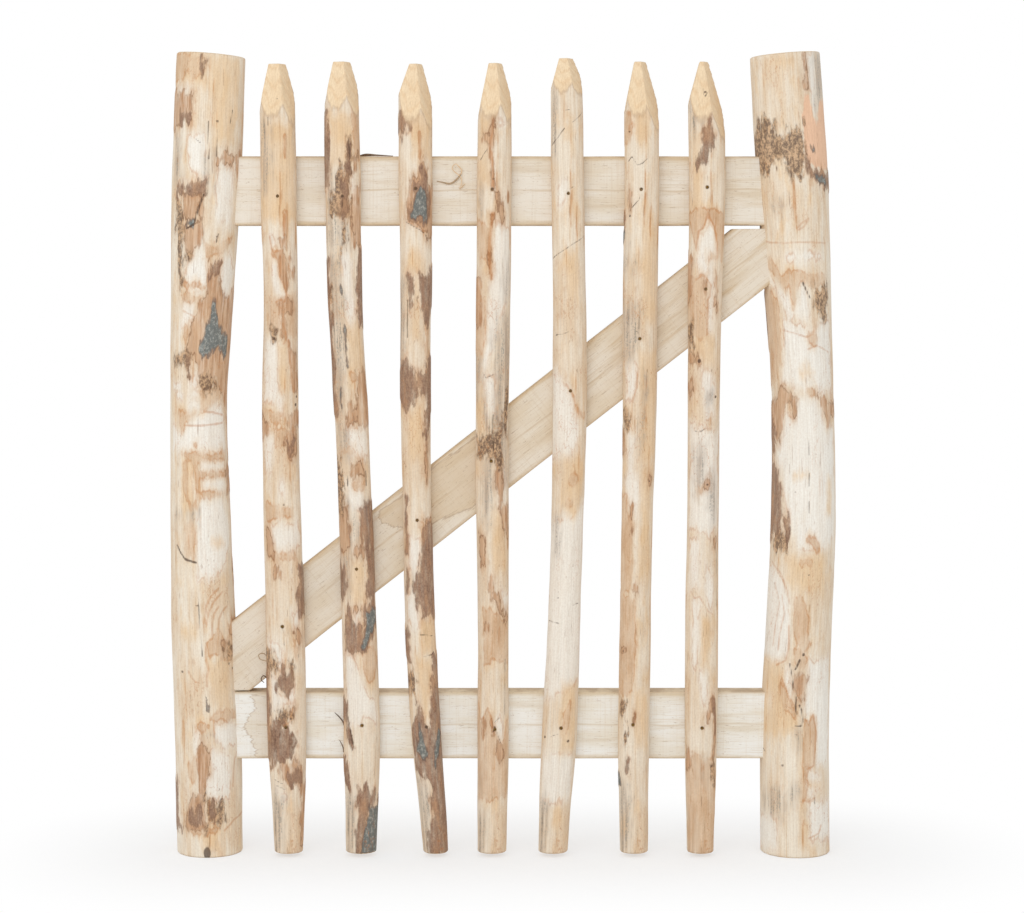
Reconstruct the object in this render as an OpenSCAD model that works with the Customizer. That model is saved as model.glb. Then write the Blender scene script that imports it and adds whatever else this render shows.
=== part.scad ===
// Rustic picket gate leaf of peeled chestnut: two crooked round posts, two sawn rails tenoned
// into them, a diagonal brace and seven pointed half-round pickets. Sizes are in millimetres.
// The front faces -Y, +X runs to the right across the front and +Z is up.
// The origin is the middle of the left post's flat foot.

/* [Gate] */
// Height of the posts
gate_h = 1200; // [1100:5:1400]
// Distance between the middles of the two post feet
post_pitch = 888; // [800:1:1200]

/* [Posts] */
// Mean diameter of a post
post_d = 100; // [90:1:120]
// Slope of the saw cut on top of a post, falling towards the gate's middle, in degrees
post_top_slope = 4.5; // [0:0.5:10]

/* [Rails] */
// Height of a rail
rail_h = 103; // [80:1:120]
// Thickness of the rails and the brace
rail_t = 36; // [26:1:44]
// Height of the bottom rail's lower edge above the ground
bottom_rail_z = 144; // [100:1:250]
// From the top of the posts down to the top rail's upper edge
top_rail_drop = 153; // [120:1:260]
// How far a rail's tenon goes into its post
tenon_l = 60; // [30:1:70]

/* [Brace] */
// Width of the brace
brace_w = 100; // [70:1:120]
// How far outside the left post's middle the brace's middle line meets the bottom rail
brace_foot_out = 17; // [0:1:30]
// How far inside the right post's middle the brace's middle line meets the top rail
brace_head_in = 17; // [0:1:30]
// Gap between the brace's foot and the bottom rail
brace_foot_gap = 1; // [0.5:0.5:6]
// Gap between the brace's head and the top rail
brace_head_gap = 4; // [0.5:0.5:8]
// How far the ends of the brace are let into the posts
brace_housing = 15; // [10:1:25]

/* [Pickets] */
// Mean width of a picket
picket_w = 51; // [42:1:58]
// Depth of a picket from its flat back to its round front
picket_t = 32; // [26:1:40]
// From the left post's middle to the middle of the first picket
first_picket = 115; // [105:1:130]
// From the middle of the last picket to the right post's middle
last_picket = 143; // [125:1:160]
// How far the picket tips stay below the top of the posts
picket_drop = 16; // [0:1:40]
// Height of the picket feet above the ground
picket_foot = 6; // [0:1:60]
// Thickness of a picket's blunt tip
tip_t = 15; // [10:1:22]

/* [Hidden] */

// Facets of the round wood
post_sides = 32;
post_rings = 24;
picket_arc = 18;
picket_rings = 18;

// Crook of each post to the side and to the back, and how far its girth strays from the mean,
// at even steps from foot to top
post_crook = [
    [0, -2, -7, -9, -10, -3, 5, 12],
    [0, -2, 2, 8, 6, -3, -14, -25]
];
post_bow = [
    [0, 2, 2, -2, -5, -3, 1, 4],
    [0, -2, -4, -1, 4, 5, 1, -3]
];
post_girth = [
    [0, 1, -2, -9, -15, -5, 4, 2],
    [6, 5, 1, -2, -7, 0, 7, 4]
];

// The same for each picket, left to right
picket_crook = [
    [7, 6, 4, 1, -1, 1, -1, -2],
    [11, 13, 10, 5, -1, -9, -11, -12],
    [18, 5, -4, -8, -10, -9, -9, -8],
    [-2, 0, 0, -1, -1, 1, 2, 4],
    [-15, -6, 1, 6, 9, 8, 5, 3],
    [2, 1, 3, 5, 8, 8, 10, 7],
    [-3, -3, -3, -2, -2, -1, 1, -4]
];
picket_girth = [
    [-7, 8, 8, 6, 5, 1, 3, 2],
    [-4, 5, 2, 0, 0, 0, 3, -1],
    [-13, -6, -5, -7, -5, -4, 0, -2],
    [-6, -3, -3, -1, 0, 1, 2, -2],
    [-6, 3, 0, -2, 1, -1, -1, -4],
    [-8, -3, -3, -3, 1, 2, 2, -1],
    [-9, -1, 0, -2, -2, 1, 4, 2]
];

// Point of each picket: rise of the tip over the mean, length of the left and right cuts, width of the tip
picket_point = [
    [-3, 70, 76, 25],
    [0, 61, 66, 25],
    [-3, 42, 82, 19],
    [-2, 71, 77, 20],
    [5, 48, 45, 21],
    [0, 81, 78, 18],
    [0, 73, 88, 14]
];
// Which way the right and front cuts of a point face, in degrees from the front towards the right
right_cut_turn = 60;
front_cut_turn = -15;

// A picket is a little more than half round: its arc runs on by this angle past the half at both sides
back_angle = 30;

top_rail_z = gate_h - top_rail_drop - rail_h;
board_front = -rail_t / 2;
picket_pitch = (post_pitch - first_picket - last_picket) / (len(picket_crook) - 1);
brace_low = bottom_rail_z + rail_h;
brace_high = top_rail_z;
brace_rise = brace_high - brace_low;
brace_run = post_pitch - brace_head_in + brace_foot_out;

// Value at t from 0 to 1 on a smooth curve through evenly spaced stations
function along(stations, t) =
    let (
        last = len(stations) - 1,
        i = min(floor(t * last), last - 1),
        f = t * last - i,
        a = stations[max(i - 1, 0)],
        b = stations[i],
        c = stations[i + 1],
        d = stations[min(i + 2, last)]
    )
    b + f * (c - a + f * (2 * a - 5 * b + 4 * c - d + f * (3 * (b - c) + d - a))) / 2;

// Middle, its place towards the back, width and inner side of the left (0) or right (1) post at a height
function post_mid(side, z) = side * post_pitch + along(post_crook[side], z / gate_h);
function post_back(side, z) = along(post_bow[side], z / gate_h);
function post_wide(side, z) = post_d + along(post_girth[side], z / gate_h);
function inward(side) = side == 0 ? 1 : -1;
function inner_side(side, z) = post_mid(side, z) + inward(side) * post_wide(side, z) / 2;

// Tip height, middle and width of a picket, counted from 0 at the left
function picket_tip(k) = gate_h - picket_drop + picket_point[k][0];
function picket_share(k, z) = (z - picket_foot) / (picket_tip(k) - picket_foot);
function picket_mid(k, z) =
    first_picket + k * picket_pitch + along(picket_crook[k], picket_share(k, z));
function picket_wide(k, z) = picket_w + along(picket_girth[k], picket_share(k, z));

// Ring of a post and D-shaped ring of a picket, both turning left to right along the front
function post_ring(mid, back, wide, z) = [
    for (i = [0:post_sides - 1])
        let (a = 360 * i / post_sides)
        [mid + wide / 2 * cos(a), back + wide / 2 * sin(a), z]
];
function picket_ring(mid, wide, z) = [
    for (i = [0:picket_arc])
        let (
            a = -back_angle + (180 + 2 * back_angle) * i / picket_arc,
            out = (sin(a) + sin(back_angle)) / (1 + sin(back_angle))
        )
        [mid - wide / 2 * cos(a), board_front - picket_t * out, z]
];

// Closed solid through a stack of rings
module pole(rings) {
    count = len(rings[0]);
    last = len(rings) - 1;
    sides = [
        for (i = [0:last - 1], j = [0:count - 1])
            let (k = (j + 1) % count)
            [i * count + j, (i + 1) * count + j, (i + 1) * count + k, i * count + k]
    ];
    foot = [for (j = [0:count - 1]) j];
    head = [for (j = [count - 1:-1:0]) last * count + j];
    polyhedron([for (ring = rings) each ring], concat(sides, [foot, head]), convexity = 4);
}

// Everything beyond a sloping plane that passes through near at height z and through far at drop below it.
// turn says which way the plane faces, in degrees from the front towards the right.
module beyond(turn, near, far, z, drop) {
    facing = [sin(turn), -cos(turn)];
    lean = atan2(facing * (far - near), drop);
    reach = 3 * picket_w;
    translate([near.x, near.y, z])
        rotate([0, -lean, turn - 90])
            translate([0, -reach, -reach])
                cube(2 * reach);
}

// Everything above the sloping saw cut on top of a post
module above_post(side) {
    outer = post_mid(side, gate_h) - inward(side) * post_wide(side, gate_h) / 2;
    translate([outer, 0, gate_h])
        rotate([0, inward(side) * post_top_slope, 0])
            translate([-2 * post_d, -2 * post_d, 0])
                cube([4 * post_d, 4 * post_d, post_d]);
}

module post(side) {
    color("tan")
        difference() {
            pole([
                for (i = [0:post_rings])
                    let (z = gate_h * i / post_rings)
                    post_ring(post_mid(side, z), post_back(side, z), post_wide(side, z), z)
            ]);
            above_post(side);
            rail(bottom_rail_z);
            rail(top_rail_z);
            brace();
        }
}

module left_post() {
    post(0);
}

module right_post() {
    post(1);
}

module rail(low) {
    middle = low + rail_h / 2;
    start = inner_side(0, middle) - tenon_l;
    end = inner_side(1, middle) + tenon_l;
    color("wheat")
        translate([start, board_front, low])
            cube([end - start, rail_t, rail_h]);
}

module bottom_rail() {
    rail(bottom_rail_z);
}

module top_rail() {
    rail(top_rail_z);
}

module brace() {
    start = inner_side(0, brace_low + brace_w / 2) - brace_housing;
    end = inner_side(1, brace_high - brace_w / 2) + brace_housing;
    low = brace_low + brace_foot_gap;
    high = brace_high - brace_head_gap;
    color("wheat")
        rotate([90, 0, 0])
            linear_extrude(rail_t, center = true)
                intersection() {
                    translate([-brace_foot_out, brace_low])
                        rotate(atan2(brace_rise, brace_run))
                            translate([-post_pitch, -brace_w / 2])
                                square([3 * post_pitch, brace_w]);
                    translate([start, low])
                        square([end - start, high - low]);
                }
}

module picket(k) {
    tip = picket_tip(k);
    mid = picket_mid(k, tip);
    left_l = picket_point[k][1];
    right_l = picket_point[k][2];
    tip_w = picket_point[k][3];
    half = picket_wide(k, tip) / 2;
    front = board_front - picket_t;
    // Where a picket is widest
    wide_y = board_front - picket_t * sin(back_angle) / (1 + sin(back_angle));
    color("burlywood")
        difference() {
            pole([
                for (i = [0:picket_rings])
                    let (z = picket_foot + (tip - picket_foot) * i / picket_rings)
                    picket_ring(picket_mid(k, z), picket_wide(k, z), z)
            ]);
            beyond(-90, [mid - tip_w / 2, wide_y], [mid - half, wide_y], tip, left_l);
            beyond(right_cut_turn, [mid + tip_w / 2, board_front], [mid + half, wide_y], tip, right_l);
            beyond(front_cut_turn, [mid, board_front - tip_t], [mid, front], tip, max(left_l, right_l));
        }
}

left_post();
right_post();
top_rail();
bottom_rail();
brace();
picket(0);  // picket_1
picket(1);  // picket_2
picket(2);  // picket_3
picket(3);  // picket_4
picket(4);  // picket_5
picket(5);  // picket_6
picket(6);  // picket_7
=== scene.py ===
import math

import bpy
import numpy as np
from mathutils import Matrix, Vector


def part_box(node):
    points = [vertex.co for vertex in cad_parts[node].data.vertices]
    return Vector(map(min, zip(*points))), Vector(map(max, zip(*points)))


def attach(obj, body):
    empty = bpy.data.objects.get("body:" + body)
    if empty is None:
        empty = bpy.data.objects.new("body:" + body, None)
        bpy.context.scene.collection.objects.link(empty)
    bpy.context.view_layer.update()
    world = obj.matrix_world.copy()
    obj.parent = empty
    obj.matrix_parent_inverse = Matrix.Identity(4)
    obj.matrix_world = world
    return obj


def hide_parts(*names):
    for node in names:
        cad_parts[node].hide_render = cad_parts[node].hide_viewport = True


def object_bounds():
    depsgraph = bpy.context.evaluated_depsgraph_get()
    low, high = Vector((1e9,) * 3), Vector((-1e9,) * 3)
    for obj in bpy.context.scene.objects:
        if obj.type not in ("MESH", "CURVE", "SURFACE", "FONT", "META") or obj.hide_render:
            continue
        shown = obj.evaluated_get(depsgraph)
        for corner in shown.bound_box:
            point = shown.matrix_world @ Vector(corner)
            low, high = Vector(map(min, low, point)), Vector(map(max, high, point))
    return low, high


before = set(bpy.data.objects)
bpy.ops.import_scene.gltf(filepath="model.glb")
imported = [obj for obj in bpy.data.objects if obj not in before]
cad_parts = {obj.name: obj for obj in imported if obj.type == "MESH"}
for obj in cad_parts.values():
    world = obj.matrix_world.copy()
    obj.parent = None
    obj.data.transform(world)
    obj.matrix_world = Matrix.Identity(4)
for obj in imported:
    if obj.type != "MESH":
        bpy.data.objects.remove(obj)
cad_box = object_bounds()

bl_info = {
    "name": "Rustic picket gate",
    "version": (1, 0, 0),
    "blender": (4, 5, 0),
    "location": "View3D > Sidebar > Gate",
    "description": "Dresses a picket gate leaf of peeled chestnut with wood, bark, screws and loose bast",
    "category": "Object",
}

POSTS = ["left_post", "right_post"]
BOARDS = ["top_rail", "bottom_rail", "brace"]
PICKETS = [f"picket_{number}" for number in range(1, 8)]
MM = 0.001
SENSOR_W = 36.0

# Tints of the two kinds of peeled wood
POST_TINT = (1.04, 1.07, 1.1, 1)
PICKET_TINT = (1, 1, 1, 1)

# Nominal radii of the poles, from which the rows over their sawn ends are reckoned
POST_RADIUS = 0.05
PICKET_RADIUS = 0.025
# Sizes of those rows from near the middle outwards, as shares of the pole's own size, and how many mm
# inside the sawn end its middle counts
CAP_SIZES = (0.08, 0.25, 0.42, 0.58, 0.74, 0.88)
CAP_DEPTH = 20.0
# The guessed patches on the back of a post start this far round from the middle of its front
POST_BACK = 0.5 * math.pi + 0.3
# A picket's section is an oval that runs to this turn at both sides, closed by a flat back
PICKET_TURN = math.radians(120)
# Depth of a picket over the half depth of its oval
PICKET_DEEP = 1.5
# Points on the flat back of a picket
FLAT_COLUMNS = 12
# Its surface is drawn along spokes from a core this far in front of its back, and none counts as shorter
# than the second length
PICKET_CORE = 0.005
LEAST_SPOKE = 0.004
# Past this turn the sides of a picket are plain, and in mm, ripples fade out this far before a flat cut
PLAIN_TURN = 1.9
RIPPLE_FADE = 4.0
# The flat back of a picket counts as this turn round the side, where no patch lies, and as this many mm
# inside a sawn end
BACK_TURN = 2.6
BACK_CUT = 3.0
# The flat cuts of a picket's point lie within this reach of its tip
POINT_REACH = 0.1
# Share of its thickness by which the faces of a board dip
BOARD_DENT = 0.01
# Radius of the painted shade in the dent round a screw head (a dark ring), how far the head stands out of
# the bare wood and half the width of a growth ring, in mm
SCREW_SHADE_RADIUS = 2.6
SCREW_PROUD = 0.3
RING_HALF = 2.6
# Seeds of like pieces lie this far apart
SEED_STEP = 10
# Sizes of the lamp, its place from the middle of the gate, and half the width of the floor
LAMP_W = 3.0
LAMP_H = 2.4
LAMP_PLACE = (-0.9, -3.2, 1.6)
FLOOR_HALF = 30.0

# The layers that lie on the wood, each kept as a signed distance to its edge in millimetres
LAYERS = ["pale", "glow", "stain", "tan", "rose", "rust", "crust", "bark", "grey", "line", "mark"]
# Distances are kept up to this many millimetres
FAR = 20.0
# Distances along the grain count this much, so that edges run further along it than across
GRAIN_PULL = 0.45

# Patches of each pole as (layer, outline). A point of an outline is (place across, height in mm).
# The place across is in hundredths of the half width: -100 at the left edge and 100 at the right edge
# seen from the front, and on round the side past them. A single point with two more numbers is an oval
# of those half sizes.
PATCHES = {}
PATCHES["left_post"] = [
    ("tan", (-110, 1196), (-50, 1196), (-15, 1194), (-10, 1175), (-25, 1158), (-35, 1166), (-50, 1168),
     (-60, 1174), (-70, 1160), (-110, 1152)),
    ("glow", (-100, 1199), (0, 1199), (0, 1150), (-100, 1150)),
    ("glow", (10, 1198), (90, 1198), (80, 1070), (30, 1066)),
    ("bark", (-10, 1194), (2, 1194), (0, 1180), (-10, 1164), (-16, 1172)),
    ("pale", (-110, 1165), (-50, 1166), (-30, 1158), (-40, 1144), (-110, 1144)),
    ("rust", (-110, 1142), (-42, 1140), (-40, 1100), (-46, 1095), (-60, 1098), (-75, 1086), (-110, 1085)),
    ("bark", (-75, 1112), (-42, 1112), (-42, 1096), (-60, 1099), (-75, 1088)),
    ("stain", (-85, 1080), (-70, 1080), (-60, 1005), (-85, 1005)),
    ("stain", (10, 1045), (30, 1045), (30, 1000), (10, 1005)),
    ("rust", (38, 1039), (50, 1050), (60, 1063), (68, 1052), (95, 1058), (98, 1048), (72, 1041), (56, 1047),
     (43, 1037)),
    ("rust", (88, 1054), (100, 1052), (100, 1008), (93, 1010), (88, 1030)),
    ("pale", (42, 1036), (85, 1040), (85, 945), (42, 960)),
    ("pale", (-50, 1080), (0, 1080), (5, 1020), (-40, 1030)),
    ("bark", (-75, 1002), (-60, 1004), (-30, 1005), (-10, 1011), (9, 1011), (9, 995), (-10, 991),
     (-30, 995), (-55, 993), (-75, 988)),
    ("rust", (-56, 993), (-2, 993), (-10, 965), (-20, 950), (-56, 957)),
    ("grey", (-45, 944), (-38, 955), (-20, 952), (-22, 944)),
    ("rust", (-50, 945), (-15, 950), (4, 988), (6, 935), (0, 915), (-15, 908), (-40, 900), (-46, 910)),
    ("stain", (-5, 928), 10, 13),
    ("crust", (-78, 985), (-60, 985), (-52, 940), (-46, 907), (-25, 911), (-28, 900), (-48, 890),
     (-52, 855), (-62, 855), (-70, 900), (-78, 940)),
    ("pale", (4, 916), (12, 906), (20, 890), (28, 870), (25, 855), (10, 846), (-10, 843), (-20, 850),
     (-45, 857), (-48, 870), (-35, 892), (-10, 906)),
    ("tan", (-50, 861), (25, 857), (25, 853), (-50, 857)),
    ("tan", (-50, 845), (15, 840), (0, 832), (-50, 836)),
    ("pale", (-50, 833), (-10, 834), (-8, 815), (-30, 800), (-60, 790), (-50, 810)),
    ("tan", (10, 926), (22, 903), (35, 901), (60, 905), (75, 910), (92, 936), (70, 925), (50, 916),
     (27, 914)),
    ("bark", (35, 885), (45, 900), (60, 894), (60, 880), (50, 874), (35, 871)),
    ("pale", (62, 898), (85, 908), (98, 882), (95, 860), (85, 838), (78, 836), (70, 850), (62, 870)),
    ("rust", (30, 897), (28, 870), (25, 852), (10, 836), (0, 825), (-10, 810), (-20, 795), (-30, 775),
     (-33, 758), (-5, 757), (5, 740), (12, 715), (20, 705), (40, 705), (55, 712), (65, 718), (80, 712),
     (90, 700), (95, 680), (120, 660), (120, 852), (98, 862), (90, 845), (78, 836), (66, 858), (62, 890),
     (45, 880)),
    ("grey", (50, 838), (60, 820), (66, 803), (75, 792), (92, 785), (93, 755), (85, 750), (80, 760),
     (68, 768), (55, 765), (45, 757), (30, 757), (22, 751), (10, 765), (15, 775), (22, 785), (28, 800),
     (42, 825)),
    ("crust", (-78, 752), (-45, 760), (-20, 758), (-8, 745), (-14, 735), (-25, 724), (-35, 735), (-50, 740),
     (-72, 735)),
    ("bark", (-22, 736), 6, 12),
    ("tan", (-37, 785), 8, 13),
    ("pale", (-2, 736), (5, 720), (10, 708), (-10, 705), (-22, 708), (-10, 720)),
    ("crust", (10, 722), (30, 726), (60, 722), (70, 715), (55, 708), (40, 702), (15, 704)),
    ("tan", (15, 704), (40, 702), (60, 710), (76, 706), (76, 690), (55, 685), (40, 676), (20, 672)),
    ("rust", (86, 720), (120, 730), (120, 655), (102, 660), (96, 690), (86, 700)),
    ("rust", (98, 670), (120, 670), (120, 598), (99, 600)),
    ("pale", (-28, 703), (12, 704), (12, 693), (-25, 692)),
    ("pale", (-22, 680), (0, 689), (16, 680), (10, 675), (-22, 675)),
    ("pale", (-68, 708), 14, 5),
    ("pale", (-60, 693), 10, 4),
    ("tan", (-62, 672), (-40, 668), (-10, 668), (6, 673), (-10, 662), (-25, 655), (-35, 652), (-40, 641),
     (-48, 638), (-55, 650), (-66, 655)),
    ("pale", (-85, 648), (-50, 637), (-35, 649), (0, 665), (40, 675), (90, 690), (97, 612), (90, 607),
     (20, 609), (-10, 613), (-40, 612), (-85, 614)),
    ("tan", (0, 623), 5, 4),
    ("tan", (-50, 610), (30, 608), (95, 613), (95, 601), (20, 599), (10, 590), (-5, 600), (-30, 600)),
    ("tan", (-45, 590), (-25, 611), (-28, 590), (-33, 565), (-28, 540), (-18, 524), (-35, 538), (-46, 560)),
    ("tan", (-20, 611), (-2, 600), (12, 578), (6, 545), (-6, 524), (-12, 530), (0, 555), (0, 580),
     (-8, 592)),
    ("pale", (-16, 562), 13, 27),
    ("pale", (14, 599), (92, 601), (92, 582), (14, 581)),
    ("pale", (20, 574), (92, 576), (90, 552), (20, 551)),
    ("tan", (10, 581), (92, 582), (92, 576), (14, 574)),
    ("tan", (10, 552), (92, 553), (85, 546), (20, 545)),
    ("rust", (95, 588), (130, 590), (130, 576), (94, 577)),
    ("rust", (96, 574), (120, 572), (120, 551), (93, 553)),
    ("pale", (10, 545), (75, 546), (87, 530), (96, 500), (96, 470), (60, 425), (30, 420), (0, 420),
     (-5, 470), (-2, 510)),
    ("tan", (-40, 508), (-20, 511), (-8, 500), (-8, 470), (-14, 452), (-35, 452), (-46, 480)),
    ("stain", (-12, 518), 22, 9),
    ("stain", (-65, 515), 16, 6),
    ("glow", (-50, 600), (0, 600), (-10, 520), (-45, 520)),
    ("glow", (62, 475), 20, 6),
    ("rust", (100, 455), (120, 450), (120, 405), (102, 420)),
    ("glow", (-35, 340), 30, 9),
    ("tan", (20, 325), (35, 331), (55, 346), (62, 346), (70, 330), (84, 330), (88, 355), (100, 363),
     (120, 345), (120, 296), (60, 300), (50, 310), (30, 303)),
    ("rust", (93, 344), 7, 14),
    ("rust", (70, 322), 7, 10),
    ("crust", (86, 312), 20, 8),
    ("grey", (6, 246), (13, 246), (19, 224), (10, 222)),
    ("glow", (20, 300), (80, 300), (80, 222), (30, 230)),
    ("tan", (20, 214), (50, 222), (90, 220), (90, 208), (50, 207), (20, 208)),
    ("tan", (-2, 200), 20, 6),
    ("stain", (12, 186), 12, 8),
    ("pale", (30, 205), (85, 205), (95, 190), (85, 170), (50, 165), (35, 180)),
    ("pale", (-26, 200), (-10, 196), (-10, 180), (-26, 168)),
    ("pale", (20, 166), (45, 165), (70, 150), (76, 120), (70, 90), (30, 86), (5, 95), (0, 115), (15, 130)),
    ("rust", (-20, 163), (-5, 171), (13, 169), (15, 130), (0, 116), (-5, 95), (-22, 95), (-16, 120),
     (-23, 150)),
    ("tan", (-50, 140), (-30, 156), (-22, 150), (-22, 120), (-40, 114), (-50, 125)),
    ("bark", (-30, 62), 20, 12),
    ("rust", (-50, 86), (-40, 95), (-20, 98), (0, 86), (2, 52), (-10, 46), (-25, 41), (-40, 44), (-55, 40),
     (-65, 45), (-56, 65)),
    ("crust", (0, 92), (30, 81), (55, 83), (56, 55), (45, 48), (20, 47), (5, 45)),
    ("bark", (22, 68), 6, 14),
    ("tan", (-60, 45), (0, 46), (40, 46), (30, 38), (0, 36), (-20, 35), (-50, 37)),
    ("bark", (-130, 112), (-86, 114), (-84, 60), (-80, 40), (-130, 40)),
    ("glow", (-20, 40), (40, 40), (30, 12), (-10, 12)),
    # Painted shade: a dark oval standing for the shadow in a small hole at the post's foot
    ("mark", (3, 7), 11, 10),
]
PATCHES["right_post"] = [
    ("glow", (-25, 1186), 38, 8),
    ("rust", (41, 1198), (48, 1198), (50, 1160), (48, 1132), (42, 1150)),
    ("pale", (50, 1196), (72, 1196), (70, 1150), (63, 1112), (57, 1130), (50, 1165)),
    ("stain", (72, 1198), (110, 1198), (110, 1140), (75, 1120), (66, 1118), (72, 1160)),
    ("rose", (27, 1105), (35, 1125), (44, 1142), (52, 1140), (60, 1108), (68, 1090), (75, 1110), (90, 1130),
     (120, 1136), (132, 1104), (118, 1072), (130, 1036), (88, 1025), (70, 1027), (50, 1030), (35, 1040),
     (28, 1060)),
    ("grey", (46, 1066), (53, 1063), (56, 1052), (48, 1056)),
    ("crust", (-92, 1100), (-82, 1112), (-65, 1108), (-50, 1102), (-45, 1090), (-25, 1084), (-10, 1082),
     (10, 1088), (28, 1096), (28, 1040), (25, 1026), (10, 1020), (-10, 1016), (-30, 1040), (-50, 1040),
     (-65, 1035), (-75, 1020), (-95, 1030), (-120, 1045), (-100, 1075)),
    ("bark", (28, 1049), (45, 1029), (70, 1025), (88, 1021), (130, 1030), (130, 992), (80, 1000),
     (60, 1006), (40, 1018), (28, 1030)),
    ("grey", (50, 1021), (85, 1012), (90, 1003), (62, 1008)),
    ("stain", (-52, 976), 16, 7),
    ("pale", (10, 900), 50, 8),
    ("tan", (-120, 905), (-95, 895), (-85, 885), (-72, 872), (-55, 858), (-45, 853), (-35, 866), (-31, 845),
     (-28, 829), (-22, 831), (-15, 846), (-5, 866), (5, 868), (20, 858), (40, 852), (55, 855), (78, 863),
     (78, 874), (30, 872), (0, 880), (-30, 880), (-60, 876), (-80, 900)),
    ("pale", (-100, 888), (-80, 870), (-72, 861), (-50, 849), (-37, 858), (-30, 824), (-15, 830), (0, 862),
     (10, 855), (20, 840), (20, 806), (-30, 812), (-42, 808), (-60, 836), (-75, 850), (-92, 878)),
    ("tan", (-120, 868), (-95, 862), (-78, 842), (-68, 826), (-72, 745), (-80, 742), (-86, 720),
     (-120, 705)),
    ("crust", (30, 852), (55, 850), (78, 861), (82, 825), (70, 803), (45, 810), (33, 830)),
    ("bark", (-140, 855), (-108, 850), (-108, 770), (-140, 760)),
    ("pale", (-60, 806), (28, 792), (50, 800), (85, 800), (88, 770), (88, 700), (35, 695), (10, 701),
     (-35, 706), (-75, 716), (-64, 750)),
    ("tan", (27, 779), 14, 11),
    ("tan", (36, 802), 9, 12),
    ("glow", (0, 728), 25, 9),
    ("rust", (-86, 690), (-80, 706), (-45, 707), (-40, 692), (-62, 681), (-74, 650), (-82, 625),
     (-100, 624), (-140, 636), (-140, 686), (-100, 682)),
    ("bark", (-140, 690), (-105, 680), (-92, 640), (-95, 615), (-106, 602), (-140, 598)),
    ("bark", (-140, 606), (-102, 600), (-84, 580), (-77, 545), (-69, 515), (-56, 513), (-50, 477),
     (-58, 480), (-63, 500), (-75, 506), (-86, 490), (-100, 476), (-140, 468)),
    ("crust", (-98, 480), (-85, 492), (-56, 490), (-60, 462), (-85, 465)),
    ("rust", (-42, 694), (-32, 692), (-36, 666), (-41, 662)),
    ("tan", (15, 700), 12, 6),
    ("rust", (42, 691), (60, 690), (82, 682), (130, 680), (130, 662), (82, 660), (68, 642), (60, 660),
     (52, 675)),
    ("pale", (-65, 676), (-45, 660), (-30, 685), (0, 696), (30, 693), (50, 672), (62, 644), (75, 642),
     (90, 650), (90, 480), (50, 465), (-20, 462), (-45, 500), (-54, 515), (-66, 545), (-74, 580),
     (-92, 602), (-80, 635)),
    ("glow", (-20, 577), 25, 4),
    ("glow", (65, 570), (78, 570), (78, 510), (60, 520)),
    ("tan", (2, 480), (25, 482), (41, 475), (41, 459), (32, 461), (20, 472)),
    ("glow", (-60, 455), (60, 455), (60, 400), (-40, 405)),
    ("tan", (0, 447), 20, 6),
    ("pale", (-130, 446), (-90, 440), (-70, 425), (-55, 405), (-42, 380), (-40, 345), (-42, 310),
     (-60, 295), (-90, 295), (-130, 310)),
    ("tan", (-30, 392), (-10, 396), (10, 386), (20, 362), (15, 345), (25, 325), (10, 315), (-5, 318),
     (-25, 345), (-28, 370)),
    ("tan", (-25, 319), (0, 318), (14, 300), (5, 284), (-10, 290), (-20, 300)),
    ("rust", (-16, 276), (0, 281), (17, 279), (16, 240), (5, 235), (-10, 245), (-17, 260)),
    ("stain", (-10, 262), 6, 16),
    ("pale", (-50, 267), (-38, 290), (-28, 281), (-20, 240), (-28, 240)),
    ("pale", (20, 300), (90, 300), (92, 140), (50, 140), (51, 180), (48, 212), (40, 219), (20, 215),
     (12, 235), (20, 270)),
    ("glow", (-95, 300), (-55, 296), (-52, 262), (-30, 240), (-14, 225), (-10, 204), (-40, 190), (-90, 180),
     (-120, 196), (-120, 296)),
    ("tan", (-55, 272), (-30, 246), (-14, 228), (-14, 212), (-36, 222), (-56, 244)),
    ("pale", (-95, 246), (-72, 246), (-78, 217), (-90, 217)),
    ("tan", (14, 211), (30, 208), (42, 217), (49, 200), (50, 175), (45, 140), (25, 136), (22, 95), (12, 88),
     (12, 160)),
    ("pale", (25, 136), (40, 137), (68, 121), (70, 108), (50, 95), (22, 92)),
    ("glow", (52, 110), 18, 6),
    ("stain", (-10, 195), (10, 192), (15, 160), (0, 165)),
    ("stain", (-15, 98), 15, 9),
    ("stain", (-65, 82), 30, 18),
    ("pale", (32, 85), (95, 85), (95, 22), (32, 26)),
    ("pale", (-110, 60), (-60, 60), (-60, 10), (-110, 10)),
]
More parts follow.
